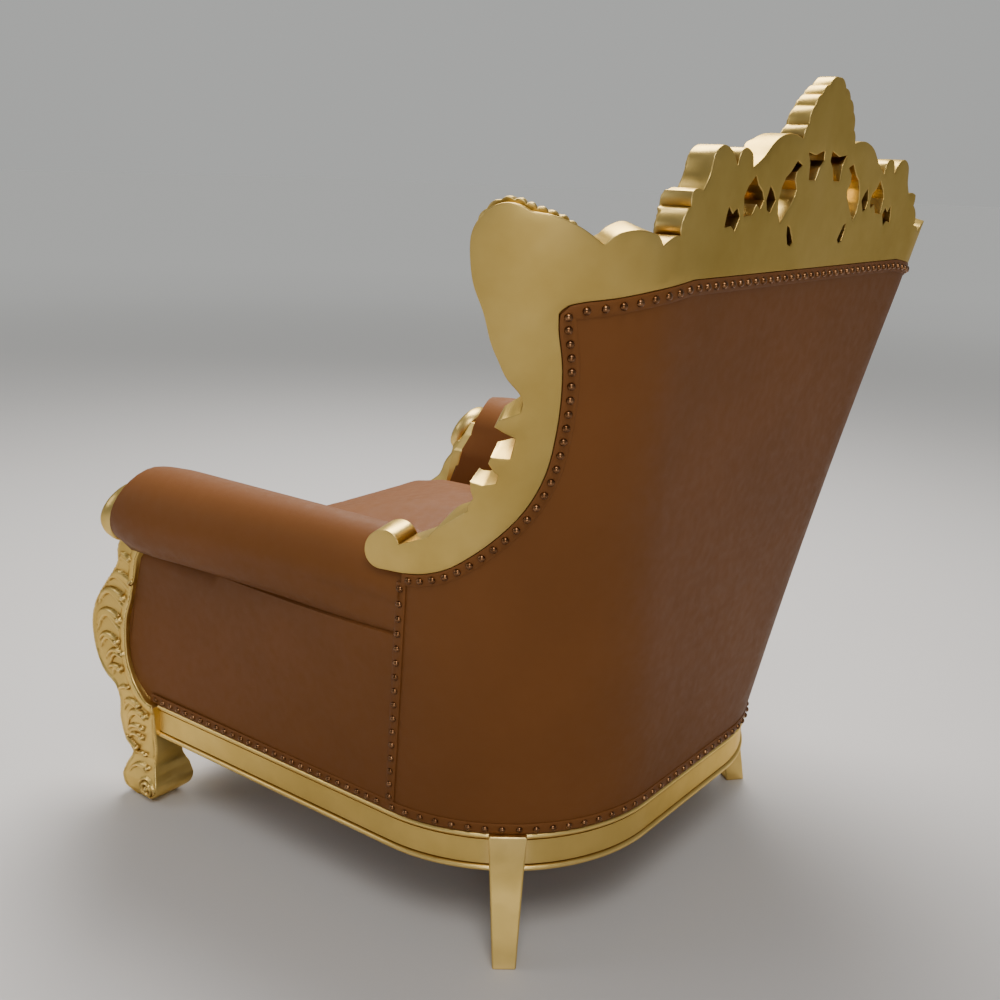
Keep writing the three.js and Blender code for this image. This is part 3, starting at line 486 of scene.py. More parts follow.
def upper_edge():
    """The carved right-hand edge, from the axis to the scroll."""
    parts = [
        scallops(PALMETTE, 0.16), curve_through(SHOULDER), curve_through(PETAL_IN, 4),
        curve_through(PETAL_OUT, 4), scallops(STAIRS, 0.1), curve_through(WING_LOBE),
        curve_through(EAR_TOP), curve_through(EAR), POINTED_LEAVES, ARM_STEPS,
        arc(SCROLL, SCROLL_R, *SCROLL_TURN, 26),
    ]
    return [p for part in parts for p in part[:-1]] + [parts[-1][-1]]


def lower_edge():
    """The right-hand edge along the leather, from the scroll to the axis."""
    return curve_through(LEATHER_LINE) + curve_through(UNDER_CREST, 8)[1:] + [(0, CREST_Z)]


def whole(right):
    """A line on the right-hand side, joined to its mirror image into one loop."""
    return right[:-1] + mirrored(right)[::-1][:-1]


PIERCED = [
    [(68, 1199), (42, 1196), (13, 1203), (11, 1190), (23, 1181), (32, 1163), (55, 1163), (58, 1186)],
    [(99, 1187), (83, 1182), (97, 1173), (99, 1162), (90, 1150), (93, 1141), (104, 1129), (129, 1106),
     (139, 1119), (143, 1135), (138, 1152), (129, 1165), (116, 1172)],
    [(104, 1103), (95, 1100), (79, 1080), (85, 1075), (96, 1078), (102, 1090)],
    [(173, 1154), (161, 1146), (152, 1136), (164, 1120), (175, 1124), (180, 1136)],
    [(219, 1166), (208, 1154), (194, 1146), (187, 1136), (194, 1125), (207, 1131), (217, 1118),
     (240, 1116), (245, 1140), (237, 1152)],
    [(283, 1128), (271, 1119), (260, 1126), (250, 1115), (260, 1098), (272, 1105), (289, 1103),
     (287, 1116)],
]
piercings = PIERCED + [mirrored(hole) for hole in PIERCED]
board_loop = whole(upper_edge() + lower_edge())
print("crest outline:", len(board_loop), "points,", len(piercings), "piercings")

# %% [markdown]
# ## A slab with one fine face
# A carved board is a plate whose one face is a landscape. Primitives and edit-mode tools can't follow
# a pierced outline and carry thousands of small heights as well, so this piece is worked in mesh code:
# the outline is filled with an even net of triangles, its edges are rounded, and both faces are put
# in place by a function that bends the plate.

# %% Net, slab and loft
TRIANGLE_HEIGHT, CLEAR_OF_RIM = 0.87, 0.62
ROUND_EDGE = ((0.62, 0.08), (0.29, 0.29), (0.08, 0.62), (0, 1))


def is_inside(points, loops):
    """Whether each point lies inside an odd number of closed loops."""
    x, y = np.asarray(points).T
    odd = np.zeros(len(x), bool)
    for loop in loops:
        for (ax, ay), (bx, by) in zip(loop, loop[1:] + loop[:1]):
            if ay != by:
                odd ^= ((ay > y) != (by > y)) & (x < (bx - ax) * (y - ay) / (by - ay) + ax)
    return odd


def signed_area(loop):
    x, y = np.array(loop).T
    return 0.5 * np.sum(x * np.roll(y, -1) - np.roll(x, -1) * y)


def distance_to(points, targets):
    """Distance from each point to the nearest of the targets."""
    tree = KDTree(len(targets))
    for i, (a, b) in enumerate(targets):
        tree.insert((a, b, 0), i)
    tree.balance()
    return np.array([tree.find((a, b, 0))[2] for a, b in points])


def net(loops, spacing):
    """An even net of triangles over an area; the loops' own points come first."""
    rim = [p for loop in loops for p in loop]
    low, high = np.min(rim, axis=0), np.max(rim, axis=0)
    rows = np.arange(low[1], high[1], spacing * TRIANGLE_HEIGHT)
    grid = [(x, y) for i, y in enumerate(rows)
            for x in np.arange(low[0] + (i % 2) * spacing / 2, high[0], spacing)]
    grid = np.array(grid)[is_inside(grid, loops)]
    grid = grid[distance_to(grid, rim) > spacing * CLEAR_OF_RIM]
    points = rim + [tuple(p) for p in grid]
    edges = []
    start = 0
    for loop in loops:
        edges += [(start + i, start + (i + 1) % len(loop)) for i in range(len(loop))]
        start += len(loop)
    found, _, triangles, *_ = delaunay_2d_cdt([Vector(p) for p in points], edges, [], 0, 1e-5)
    if len(found) != len(points):
        raise RuntimeError(f"outline crosses itself: {len(found) - len(points)} extra points")
    points = np.array(points)
    triangles = np.array(triangles)
    middle = points[triangles].mean(axis=1)
    return points, triangles[is_inside(middle, loops)]


def finish_mesh(name, vertices, faces, material, sharp=38):
    """A shown object from millimetre vertices, with its faces turned outwards."""
    mesh = bpy.data.meshes.new(name)
    mesh.from_pydata((np.asarray(vertices) / 1000).tolist(), [], [list(f) for f in faces])
    piece = bpy.data.objects.new(name, mesh)
    bpy.context.collection.objects.link(piece)
    return finish_piece(piece, name, material, sharp)


def select_only(piece):
    bpy.ops.object.select_all(action="DESELECT")
    piece.select_set(True)
    bpy.context.view_layer.objects.active = piece


def finish_piece(piece, name, material, sharp=38):
    """Turns an object's faces outwards, smooths it up to an angle and gives it its finish."""
    piece.name = name
    select_only(piece)
    bpy.ops.object.mode_set(mode="EDIT")
    bpy.ops.mesh.select_all(action="SELECT")
    bpy.ops.mesh.normals_make_consistent(inside=False)
    bpy.ops.object.mode_set(mode="OBJECT")
    bpy.ops.object.shade_smooth_by_angle(angle=math.radians(sharp))
    piece.data.materials.clear()
    piece.data.materials.append(material)
    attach(piece, "root")
    print(f"{name}: {len(piece.data.polygons)} faces")
    return piece


def slab(name, loops, place, near, far, spacing, rounding, material, rim_step=4, sharp=38, drift=None):
    """A plate between two depths. near and far give a depth at each point; spacing and rounding
    each hold a value for the near face and one for the far face; drift moves the far face along
    the plate."""
    loops = [densify(loop, rim_step) for loop in loops]
    # the outline runs one way and the holes the other, so that "inward" is into the wood for both
    loops = [loop if (signed_area(loop) > 0) == (i == 0) else loop[::-1]
             for i, loop in enumerate(loops)]
    rim = np.array([p for loop in loops for p in loop])
    inward = np.concatenate([line_normals(loop, closed=True) for loop in loops])
    count = len(rim)
    vertices, faces, rings = [], [], []

    def add(points, depth, moved):
        start = sum(len(v) for v in vertices)
        points = points + drift(points) if moved else points
        vertices.append(place(points[:, 0], points[:, 1], depth))
        return start

    for side, surface, step, radius in zip((1, -1), (near, far), spacing, rounding):
        points, triangles = net(loops, step)
        depth = surface(points)
        points[:count] += inward * radius
        moved = drift is not None and side < 0
        start = add(points, depth, moved)
        faces += [tuple(t + start) for t in triangles]
        levels = [start]
        for inset, sink in ROUND_EDGE:
            levels.append(add(rim + inward * radius * inset, depth[:count] + side * radius * sink, moved))
        rings += levels if side > 0 else levels[::-1]
    for a, b in zip(rings, rings[1:]):
        start = 0
        for loop in loops:
            n = len(loop)
            faces += [(a + start + i, a + start + (i + 1) % n, b + start + (i + 1) % n, b + start + i)
                      for i in range(n)]
            start += n
    return finish_mesh(name, np.concatenate(vertices), faces, material, sharp)


def loft(name, rings, material, sharp=38):
    """A closed skin over rings of equal length; the first and last ring are filled."""
    n = len(rings[0])
    last = (len(rings) - 1) * n
    faces = [tuple(range(n)), tuple(range(last, last + n))]
    for a in range(0, last, n):
        faces += [(a + j, a + (j + 1) % n, a + n + (j + 1) % n, a + n + j) for j in range(n)]
    return finish_mesh(name, np.concatenate(rings), faces, material, sharp)


# %% [markdown]
# ## Carving
# Acanthus is carved as overlapping leaves, each with a rib, grooves beside it and lobes that swell
# along its edge. Every leaf here is a small landscape along its own bent spine; where leaves meet,
# the higher one wins, as it does under the gouge.

# %% Leaves, strokes and beads as heights
def along_spine(points, spine):
    """For each point, its share along a spine, and its distance from it."""
    spine = np.array(spine)
    away = np.linalg.norm(points[:, None, :] - spine[None], axis=2)
    nearest = away.argmin(axis=1)
    return nearest / (len(spine) - 1), away[np.arange(len(points)), nearest]


def within(points, spine, reach):
    """Which points lie near enough to a spine to be worth measuring."""
    low, high = np.min(spine, axis=0) - reach, np.max(spine, axis=0) + reach
    return np.flatnonzero(np.all((points > low) & (points < high), axis=1))


def leaf(points, ground, at, degrees, length, width, height, curl=0.0, lobes=5):
    """Raises an acanthus leaf that starts at a point and runs in a direction."""
    share = np.linspace(0, 1, 48)
    angle = math.radians(degrees) + curl * share ** 2
    spine = np.stack([at[0] + share * length * np.cos(angle), at[1] + share * length * np.sin(angle)], axis=1)
    near = within(points, spine, width)
    if not len(near):
        return
    s, away = along_spine(points[near], spine)
    half = width / 2 * np.sin(math.pi * np.clip(0.12 + 0.86 * s, 0, 1)) ** 0.8
    if lobes:
        half = half * (0.80 + 0.26 * np.abs(np.sin(math.pi * lobes * s)))
    t = away / np.maximum(half, 0.5)
    dome = np.sqrt(np.clip(1 - t ** 3, 0, 1)) * np.sin(math.pi * (0.08 + 0.84 * s)) ** 0.5
    groove = 0.34 * np.exp(-((t - 0.24) / 0.1) ** 2)
    fluting = 0
    if lobes:
        fluting = 0.20 * (0.5 - 0.5 * np.cos(2 * math.pi * (lobes * s - 0.7 * t))) * (t > 0.3)
    ground[near] = np.maximum(ground[near], height * dome * (1 - groove - fluting))


def stroke(points, ground, start, through, end, width, height, ball=0.0):
    """Raises one tapering ridge along a bent line, with a small knob where it curls over."""
    t = np.linspace(0, 1, 40)[:, None]
    start, through, end = (np.array(p, float) for p in (start, through, end))
    spine = (1 - t) ** 2 * start + 2 * t * (1 - t) * (2 * through - (start + end) / 2) + t ** 2 * end
    near = within(points, spine, width + ball)
    if not len(near):
        return
    s, away = along_spine(points[near], spine)
    swell = 1.45 * (s + 0.04) ** 0.7 * (1.04 - s) ** 0.3
    ridge = height * swell * np.sqrt(np.clip(1 - (away / (width / 2 * swell)) ** 2, 0, 1))
    knob_away = np.linalg.norm(points[near] - end, axis=1)
    knob = 0
    if ball:
        knob = (height + ball * 0.45) * np.sqrt(np.clip(1 - (knob_away / ball) ** 2, 0, 1))
    ground[near] = np.maximum(ground[near], np.maximum(ridge, knob))


def bead(ground, away, centre, radius, height):
    """Raises a round moulding that follows an edge at some distance from it."""
    np.maximum(ground, height * np.sqrt(np.clip(1 - ((away - centre) / radius) ** 2, 0, 1)), out=ground)


# %% [markdown]
# ## The crest
# The crest is one pierced board that bends round the sitter. Its back is left plain, its front is
# carved: a palmette with flutes at the top, a cartouche below it, long leaves that run out to the
# wings and down the curve to a scroll on each arm.

# %% Crest board
CREST_LEAVES = [
    # place, direction, length, width, height, curl
    ((40, 1075), 12, 110, 26, 9, 0.5), ((150, 1072), 8, 120, 26, 9, 0.45),
    ((268, 1066), 10, 110, 26, 9, 0.4), ((300, 1120), 72, 66, 30, 9, 0.2),
    ((248, 1142), 86, 50, 20, 8, 0.0), ((118, 1196), 20, 84, 18, 7, -0.5),
    ((366, 1090), 60, 62, 24, 8, 0.2), ((400, 1050), 32, 80, 26, 8, -0.3),
    ((470, 1052), 18, 120, 34, 10, 0.5), ((590, 1060), 60, 74, 30, 9, 0.3),
    ((600, 985), 62, 120, 36, 10, 0.1), ((560, 960), 75, 90, 26, 9, -0.4),
    ((530, 905), 72, 92, 30, 9, -0.3), ((528, 806), 88, 90, 28, 9, -0.2),
    ((545, 850), 40, 40, 18, 7, 0.2), ((556, 726), 112, 82, 28, 9, -0.2),
    ((640, 662), 146, 92, 26, 9, -0.2), ((600, 690), 120, 60, 20, 7, 0.3),
]
CARTOUCHE = ((0, 1062), 90, 92, 46, 14)
FLUTES = [(0, 90, 74, 18), (9, 68, 66, 16), (9, 47, 56, 16), (9, 26, 52, 15)]
SCROLL_COILS = ((26, 4), (17, 7), (8, 10))
PALMETTE_FOOT, PALMETTE_HALF = 1190, 100


def carve_crest(points):
    """Heights of the crest's carving; one half repeats the other."""
    right = np.abs(points)
    ground = np.zeros(len(points))
    rim = np.array([p for loop in [board_loop] + piercings for p in densify(loop, 3)])
    away = distance_to(points, rim)
    bead(ground, away, 6.5, 3.6, 3.2)
    for acanthus in CREST_LEAVES:
        leaf(right, ground, *acanthus)
    for x, degrees, length, width in FLUTES:
        leaf(right, ground, (x, 1212), degrees, length, width, 9, lobes=0)
    leaf(right, ground, *CARTOUCHE)
    hub = np.linalg.norm(right - SCROLL, axis=1)
    for radius, rise in SCROLL_COILS:
        np.maximum(ground, rise * np.clip((radius - hub) / 2.5, 0, 1), out=ground)
    return ground


def board_depth(points):
    """Thickness of the board, which thins towards the palmette's top."""
    thinning = smooth((points[:, 1] - PALMETTE_FOOT) / (APEX_Z - PALMETTE_FOOT))
    return mix(BOARD, BOARD_AT_APEX, np.where(np.abs(points[:, 0]) < PALMETTE_HALF, thinning, 0))


def overhang(points):
    """The carved face stands higher than the plain back along the inner curves, most of all
    between the leaves."""
    u, z = np.abs(points[:, 0]), points[:, 1]
    on_curve = smooth((u - 505) / 30) * smooth((948 - z) / 70)
    roots = 11 * np.clip((586 - u) / 30, 0, 1) * smooth((z - 770) / 20)
    knob = 8 * np.exp(-((u - 610) / 15) ** 2)
    lobe = 8 * np.exp(-((u - 480) / 36) ** 2) * smooth((z - 1030) / 50)
    clear = smooth(distance_to(points, leather_rim) / 38)
    return np.stack([np.zeros(len(u)), (on_curve * (9 + roots + knob) + lobe) * clear], axis=1)


leather_rim = densify(lower_edge() + mirrored(lower_edge())[::-1], 6)
crest = slab(
    "carved_crest", [board_loop] + piercings, on_tub, near=lambda p: np.zeros(len(p)),
    far=lambda p: board_depth(p) + carve_crest(p), spacing=(14, 3.8), rounding=(1.6, 3), material=GOLD,
    drift=overhang)
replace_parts(crest, "crest_frame")

# %% [markdown]
# The ears carry a fringe of small curled leaves on their front half. It stands a little proud of the
# board's edge, so it is a narrow slab of its own, with a scalloped outer line.

# %% Ear fringes
EAR_CREST = [
    (540, 1094), (562, 1104), (588, 1113), (613, 1119), (632, 1125), (650, 1126), (664, 1117),
    (672, 1099), (670, 1076), (656, 1040), (634, 1004), (616, 970),
]
FRINGE_WIDTH, FRINGE_FROM, FRINGE_PROUD = 26, 17.0, 3


def fringe(name, side):
    """A scalloped slab along the ear's edge, with one curled leaf to each scallop."""
    edge = even_steps(curve_through(EAR_CREST), 15)
    proud = np.interp(np.arange(len(edge)), [0, 2, 9, 12, len(edge) - 1], [0, 5, 6, 2.5, 0])
    cusps = [tuple(q) for q in edge + line_normals(edge) * proud[:, None]]
    outer_line = scallops(cusps, 0.22)
    inner_line = shifted(edge, -FRINGE_WIDTH)[::-1]
    loop = [(side * u, z) for u, z in outer_line + inner_line]

    def curls(points):
        ground = np.zeros(len(points))
        right = np.abs(points)
        outwards = line_normals(edge)
        for k in range(1, len(edge) - 1):
            root = edge[k] - outwards[k] * 22
            stroke(right, ground, root, (root + edge[k]) / 2 + (3, 0), cusps[k], 13, 7, 5)
        return BOARD + FRINGE_PROUD + ground

    return slab(name, [loop], on_tub, near=lambda p: np.full(len(p), FRINGE_FROM), far=curls,
                spacing=(9, 3), rounding=(2, 2.5), material=GOLD, rim_step=3)


for side_name, side in SIDES:
    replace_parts(fringe(f"ear_fringe_{side_name}", side), "crest_frame")

# %% [markdown]
# ## The tub's leather
# Outside, the hide is stretched from the rail to the crest board and dips where it is nailed. Inside
# it is padded: full in the middle, tight at its edges. Both are one piece of upholstery, so the plate
# method serves again, with a swelling in place of carving.

# %% Leather tub
WALL_LOW, WALL_PAD, PAD_RISE = 50, 85, 70
PAD_THINS_FROM, PAD_THINNING = 960, 18
SEAM_TOP_Z = 624


def tub_loop():
    """The hide's outline: up the seam beside each arm, then along the crest board."""
    seam = [(float(corner_end(z)), z) for z in np.linspace(LEATHER_LOW, SEAM_TOP_Z, 30)]
    edge = shifted(lower_edge(), 0.8)
    return whole([(0, LEATHER_LOW)] + seam + edge)


def swelling(points, loop, height, reach):
    """How far a padded skin stands up: nothing at its edge, full away from it."""
    return height * (1 - np.exp(-distance_to(points, loop) / reach))


tub_line = tub_loop()
tub_rim = densify(tub_line, 6)


def tub_inside(points):
    """Depth of the padded face: thin behind the deck, full above it, thinner under the crest."""
    z = points[:, 1]
    base = mix(WALL_LOW, WALL_PAD, smooth((z - DECK_TOP - 4) / (PAD_RISE - 4)))
    base = base - PAD_THINNING * smooth((z - PAD_THINS_FROM) / (CREST_Z - PAD_THINS_FROM))
    return base - 8 + swelling(points, tub_rim, 16, 55)


tub = slab(
    "leather_tub", [tub_line], on_tub, near=lambda p: 2.2 - swelling(p, tub_rim, 2.2, 14),
    far=tub_inside, spacing=(15, 13), rounding=(2, 9), material=HIDE, rim_step=8, sharp=60)
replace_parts(tub, "tub_upholstery")

# %% [markdown]
# ## Arms
# An arm is a flat leather panel outside, a fat roll on top and a flat panel inside. A seam runs under
# the roll. The section is drawn once and pulled from the carved post, whose rear edge it follows, to
# the tub, where it takes the tub's flare.

# %% Arms
ARM_IN, ARM_HOLLOW, INNER_TOP = 368, 3, 560
ROLL_X, ROLL_Z, ROLL_R, ROLL_R_FRONT = 459, 592, 80, 64
REAR_ROLL_X, REAR_ROLL_RX = 447, 62
SEAM_X, SEAM_Z, SEAM_REAR_Z = 455, 492, 532
ARM_START, ARM_SECTIONS, ARM_RINGS = -490, 60, 36
ROLL_FRONT_Y, ROLL_TILT = -377, 0.5
ARM_FRONT = [
    (206, -412), (213, -434), (239, -464), (270, -479), (311, -482), (355, -477), (401, -460),
    (445, -447), (482, -438), (516, -415), (556, -395), (592, -377), (680, -333),
]
NECK_LEAN, NECK_FROM, NECK_BLEND = np.array([19.0, 28.0, 10.5]), 400, 90
PANEL_LEVELS = list(np.linspace(LEATHER_LOW, 470, 28)) + [476, 480]
OUTER_COUNT = len(PANEL_LEVELS) + 2
ROLL_START = -62
ROLL_ANGLES = [-56, -50, -42, -32] + list(range(-20, 125, 12)) + [138, 152, 166, 180]


def neck_sway(z):
    """How far the post's neck leans out, back and up under the roll, as rows of x, y and z."""
    return smooth((np.asarray(z) - NECK_FROM) / NECK_BLEND)[..., None] * NECK_LEAN


def arm_section(share):
    """The arm's outline in x and z at a share of its length."""
    flare = float(smooth(share))
    radius = mix(ROLL_R_FRONT, ROLL_R, math.sqrt(float(smooth((share - 0.12) / 0.16))))
    tub_half = lambda z: float(tub_plan(z, 0)[0])
    width_at = lambda z: mix(BASE_W, tub_half(z), flare)
    outline = [(width_at(z) - 1.5 * math.exp(-(z - RAIL_TOP) / 10), z) for z in PANEL_LEVELS]
    seam = mix(SEAM_Z, SEAM_REAR_Z, share)
    outline += [(width_at(seam) - 1.5, seam - 3), (width_at(seam) - 5, seam)]
    outline += [(mix(SEAM_X, tub_half(seam) + 1, flare), seam + 7)]
    for degrees in ROLL_ANGLES:
        c, s = math.cos(math.radians(degrees)), math.sin(math.radians(degrees))
        front = (ROLL_X + radius * c, ROLL_Z + radius * s)
        rear = [REAR_ROLL_X + REAR_ROLL_RX * c, ROLL_Z + ROLL_R * s]
        if degrees < 0:
            # at the tub the roll's underside rises to meet the rear end of the seam
            rear[1] = mix(ROLL_Z, SEAM_REAR_Z + 10, degrees / ROLL_START)
            rear[0] = tub_half(rear[1]) + 0.5
        outline.append((mix(front[0], rear[0], flare), mix(front[1], rear[1], flare)))
    inner = [(ARM_IN - ARM_HOLLOW * math.sin(math.pi * (z - RAIL_TOP) / (INNER_TOP - RAIL_TOP)), z)
             for z in np.linspace(INNER_TOP, LEATHER_LOW, 20)]
    return [(max(x, ARM_IN - ARM_HOLLOW), z) for x, z in outline + inner]


def arm_point(index, share, sections):
    """One point of the arm, between the post's edge and the tub."""
    z = sections[0][index][1]
    front = np.interp(z, *zip(*ARM_FRONT))
    _, corner, rear = tub_plan(z, 0)
    rear_y = float(rear - corner) - 0.6
    y = mix(front, rear_y, share)
    at = np.clip((y - ARM_START) / (rear_y - ARM_START), 0, 1) * (len(sections) - 1)
    low = min(int(at), len(sections) - 2)
    x, z = (mix(a, b, at - low) for a, b in zip(sections[low][index], sections[low + 1][index]))
    ahead = (1 - share) ** 3
    if index < OUTER_COUNT:
        return np.array([x, y, z]) + ahead * neck_sway(z)
    # the inner side starts further back, behind the cheek
    inward = float(smooth((ROLL_X + 10 - x) / 90))
    return np.array([x, y + ahead * inward * mix(26, 52, float(smooth((640 - z) / 160))), z])


def arm(name, side):
    sections = [arm_section(k / ARM_SECTIONS) for k in range(ARM_SECTIONS + 1)]
    count = len(sections[0])
    rings = [np.array([arm_point(i, share, sections) for i in range(count)]) * (side, 1, 1)
             for share in np.linspace(0, 1, ARM_RINGS + 1)]
    piece = loft(f"leather_{name}", rings, HIDE, sharp=50)
    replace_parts(piece, name)


for side_name, side in SIDES:
    arm(f"arm_{side_name}", side)

# %% [markdown]
# ## Front posts
# Each post is sawn to an S from a thick plank, then carved on its outer face: a smooth border along
# the leather, a fine bead along the front, and clusters of curling acanthus between them that run
# from the belly over the knee to the foot.

# %% Post outlines
POST_FRONT = [
    (-420, 560), (-452, 540), (-480, 513), (-494, 488), (-496, 464), (-519, 432), (-555, 390),
    (-576, 354), (-584, 318), (-578, 276), (-564, 246), (-543, 228), (-515, 214), (-505, 190),
    (-509, 150), (-504, 112), (-487, 88), (-500, 62), (-507, 40), (-503, 16), (-480, 0),
]
POST_REAR = [
    (-440, 0), (-414, 22), (-410, 40), (-417, 64), (-419, 84), (-410, 112), (-407, 142), (-407, 202),
]
POST_OUTER = [
    (0, 430), (16, 440), (40, 443), (64, 437), (88, 432), (120, 436), (160, 441), (210, 442),
    (250, 438), (600, 438),
]
POST_INNER = [
    (0, 368), (16, 356), (40, 351), (62, 354), (84, 366), (100, 372), (140, 376), (205, 376),
    (250, 381), (600, 381),
]
post_border = [(y - 0.4, z) for z, y in ARM_FRONT if z < 570]
post_loop = curve_through(POST_FRONT, 4) + curve_through(POST_REAR, 4) + curve_through(post_border, 4)


# %% Post carving
def fan(tip, roots, width, height, ball):
    """A cluster of ridges that spring from the front edge and curl over at one tip."""
    return [(root, ((root[0] + tip[0]) / 2 - 6, (root[1] + tip[1]) / 2 + lift),
             (tip[0] - back, tip[1] - fall), width, 1.2 * height, ball if k == 0 else 0.0)
            for k, (root, lift, back, fall) in enumerate(roots)]


# tip, [(root, lift, back, fall), ...], width, height, ball
POST_FANS = [
    ((-459, 474), [((-484, 478), 4, 0, 0), ((-488, 462), 6, 2, 8)], 10, 5, 4.5),
    ((-456, 430), [((-506, 440), 6, 0, 0), ((-522, 422), 12, 4, 8), ((-538, 402), 16, 8, 17)], 12, 6, 5.5),
    ((-479, 396), [((-548, 386), 12, 0, 0), ((-560, 368), 18, 2, 9), ((-566, 350), 24, 6, 18)],
     13, 6.5, 7),
    ((-495, 350), [((-570, 330), 18, 0, 0), ((-572, 314), 22, 2, 10), ((-571, 298), 26, 6, 20)],
     13, 6.5, 7),
    ((-506, 304), [((-568, 284), 16, 0, 0), ((-562, 268), 18, 4, 10)], 12, 6, 6),
    ((-490, 285), [((-548, 254), 12, 0, 0), ((-536, 246), 10, 8, 10)], 11, 6, 5),
    ((-500, 252), [((-540, 240), 6, 0, 0), ((-524, 230), 8, 4, 8)], 11, 6, 6),
    ((-478, 222), [((-506, 204), 4, 0, 0)], 10, 5, 4),
    ((-446, 196), [((-492, 186), 8, 0, 0), ((-494, 168), 12, 6, 8)], 11, 5.5, 5),
    ((-429, 180), [((-486, 156), 12, 0, 0), ((-488, 142), 14, 8, 8)], 12, 6, 6),
    ((-443, 150), [((-492, 128), 8, 0, 0)], 11, 5.5, 5),
    ((-448, 129), [((-490, 112), 8, 0, 0)], 11, 5.5, 5.5),
    ((-470, 100), [((-500, 118), 2, 0, 0)], 12, 7, 5),
    ((-446, 93), [((-478, 84), 4, 0, 0)], 9, 5, 4),
    ((-437, 70), [((-480, 58), 6, 0, 0), ((-490, 44), 10, 6, 8)], 10, 5, 4.5),
]
FOOT_BOSS = (-436, 30)
INCISED_LINE = [(-411, 205), (-414, 150), (-420, 105), (-424, 92)]
NECK_TURN, POST_THICK = 30, 57


def carve_post(points):
    """Heights of the carving on a post's outer face."""
    ground = np.zeros(len(points))
    away = distance_to(points, even_steps(curve_through(post_border, 4), 2))
    bead(ground, away, 8, 9, 2.8)
    front = distance_to(points, even_steps(curve_through(POST_FRONT, 4), 2))
    bead(ground, front, 3.6, 2.6, 2.2)
    for cluster in POST_FANS:
        for ridge in fan(*cluster):
            stroke(points, ground, *ridge)
    hub = np.linalg.norm(points - FOOT_BOSS, axis=1)
    for ring in ((0, 6, 7), (12, 3.5, 5), (20, 3, 3.5)):
        bead(ground, hub, *ring)
    incised = distance_to(points, even_steps(INCISED_LINE, 2))
    return ground - 2 * np.clip(1 - incised / 2.2, 0, 1)


def post(name, side):
    outer = lambda z: np.interp(z, *zip(*POST_OUTER))
    inner = lambda z: np.interp(z, *zip(*POST_INNER))

    def place(y, z, depth):
        y, z, depth = np.broadcast_arrays(y, z, depth)
        at_neck = smooth((z - 420) / 70) * smooth((560 - z) / 40)
        turned = NECK_TURN * np.clip(depth / POST_THICK, 0, 1) ** 1.4 * at_neck
        points = np.stack([outer(z) - depth, y + turned, z], axis=-1) + neck_sway(z)
        return points * (side, 1, 1)

    piece = slab(
        f"carved_{name}", [post_loop], place, near=lambda p: 2 - carve_post(p),
        far=lambda p: outer(p[:, 1]) - inner(p[:, 1]), spacing=(2.4, 9), rounding=(3, 4),
        material=GOLD, rim_step=3)
    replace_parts(piece, name)


for side_name, side in SIDES:
    post(f"front_post_{side_name}", side)

# %% [markdown]
# ## Volutes
# A volute closes each arm roll at the front: a turned disc with a rosette. Rings of points are set
# out round its axis, lifted by the rosette's height, and skinned.

# %% Volutes
VOLUTE_X, VOLUTE_Z, VOLUTE_R, VOLUTE_THICK = 463, 574, 58, 28
PETALS, FACETS = 8, 96


def rosette_height(radius, angle):
    """Height of the volute's face: rim, hollow, petals and a round boss."""
    rim = 3.5 * np.sqrt(np.clip(1 - ((radius - 51) / 6) ** 2, 0, 1))
    ring = 2.5 * np.sqrt(np.clip(1 - ((radius - 41) / 3) ** 2, 0, 1))
    swing = np.abs(np.sin(PETALS / 2 * angle))
    reach = 15 * (0.45 + 0.55 * swing)
    petal = 8 * np.sqrt(np.clip(1 - ((radius - 22) / reach) ** 2, 0, 1)) * swing ** 0.4
    boss = 10 * np.sqrt(np.clip(1 - (radius / 9) ** 2, 0, 1))
    return np.maximum.reduce([rim, ring, petal, boss]) - 4 * smooth((44 - radius) / 6)


def volute(name, side):
    angles = np.arange(FACETS) * 2 * math.pi / FACETS
    tilt = math.atan(ROLL_TILT)
    out = np.array([0, -math.cos(tilt), math.sin(tilt)])
    up = np.array([0, math.sin(tilt), math.cos(tilt)])
    centre = (VOLUTE_X, ROLL_FRONT_Y + (VOLUTE_Z - ROLL_Z) * ROLL_TILT - 0.4, VOLUTE_Z)
    # each ring's radius and how far it lies behind the face
    face = [(0.8, 0)] + [(r, 0) for r in np.linspace(2.5, VOLUTE_R - 1.5, 34)]
    edge = [(VOLUTE_R, 3), (VOLUTE_R + 1, 9), (VOLUTE_R - 1, VOLUTE_THICK - 6),
            (VOLUTE_R - 5, VOLUTE_THICK - 1), (VOLUTE_R - 8, VOLUTE_THICK)]
    rings = []
    for radius, back in face + edge:
        lift = np.full(FACETS, -back)
        if back == 0:
            lift = rosette_height(np.full(FACETS, radius), angles)
        flat = np.outer(radius * np.cos(angles), (1, 0, 0)) + np.outer(radius * np.sin(angles), up)
        rings.append((centre + flat + np.outer(VOLUTE_THICK + lift, out)) * (side, 1, 1))
    piece = loft(f"volute_{name}", rings, GOLD)
    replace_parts(piece, f"front_post_{name}")


for side_name, side in SIDES:
    volute(side_name, side)

# %% [markdown]
# Inside each arm the facing board shows as a narrow gilded cheek between the leather and the volute.
# It follows the front of the roll from the volute down to the cushion.

# %% Cheeks
# height, front edge and width at that height
CHEEK = [
    (330, -412, 40), (440, -404, 34), (482, -398, 30), (540, -384, 27), (592, -366, 24), (616, -355, 18),
]
CHEEK_X, CHEEK_THICK = 367, 14.0


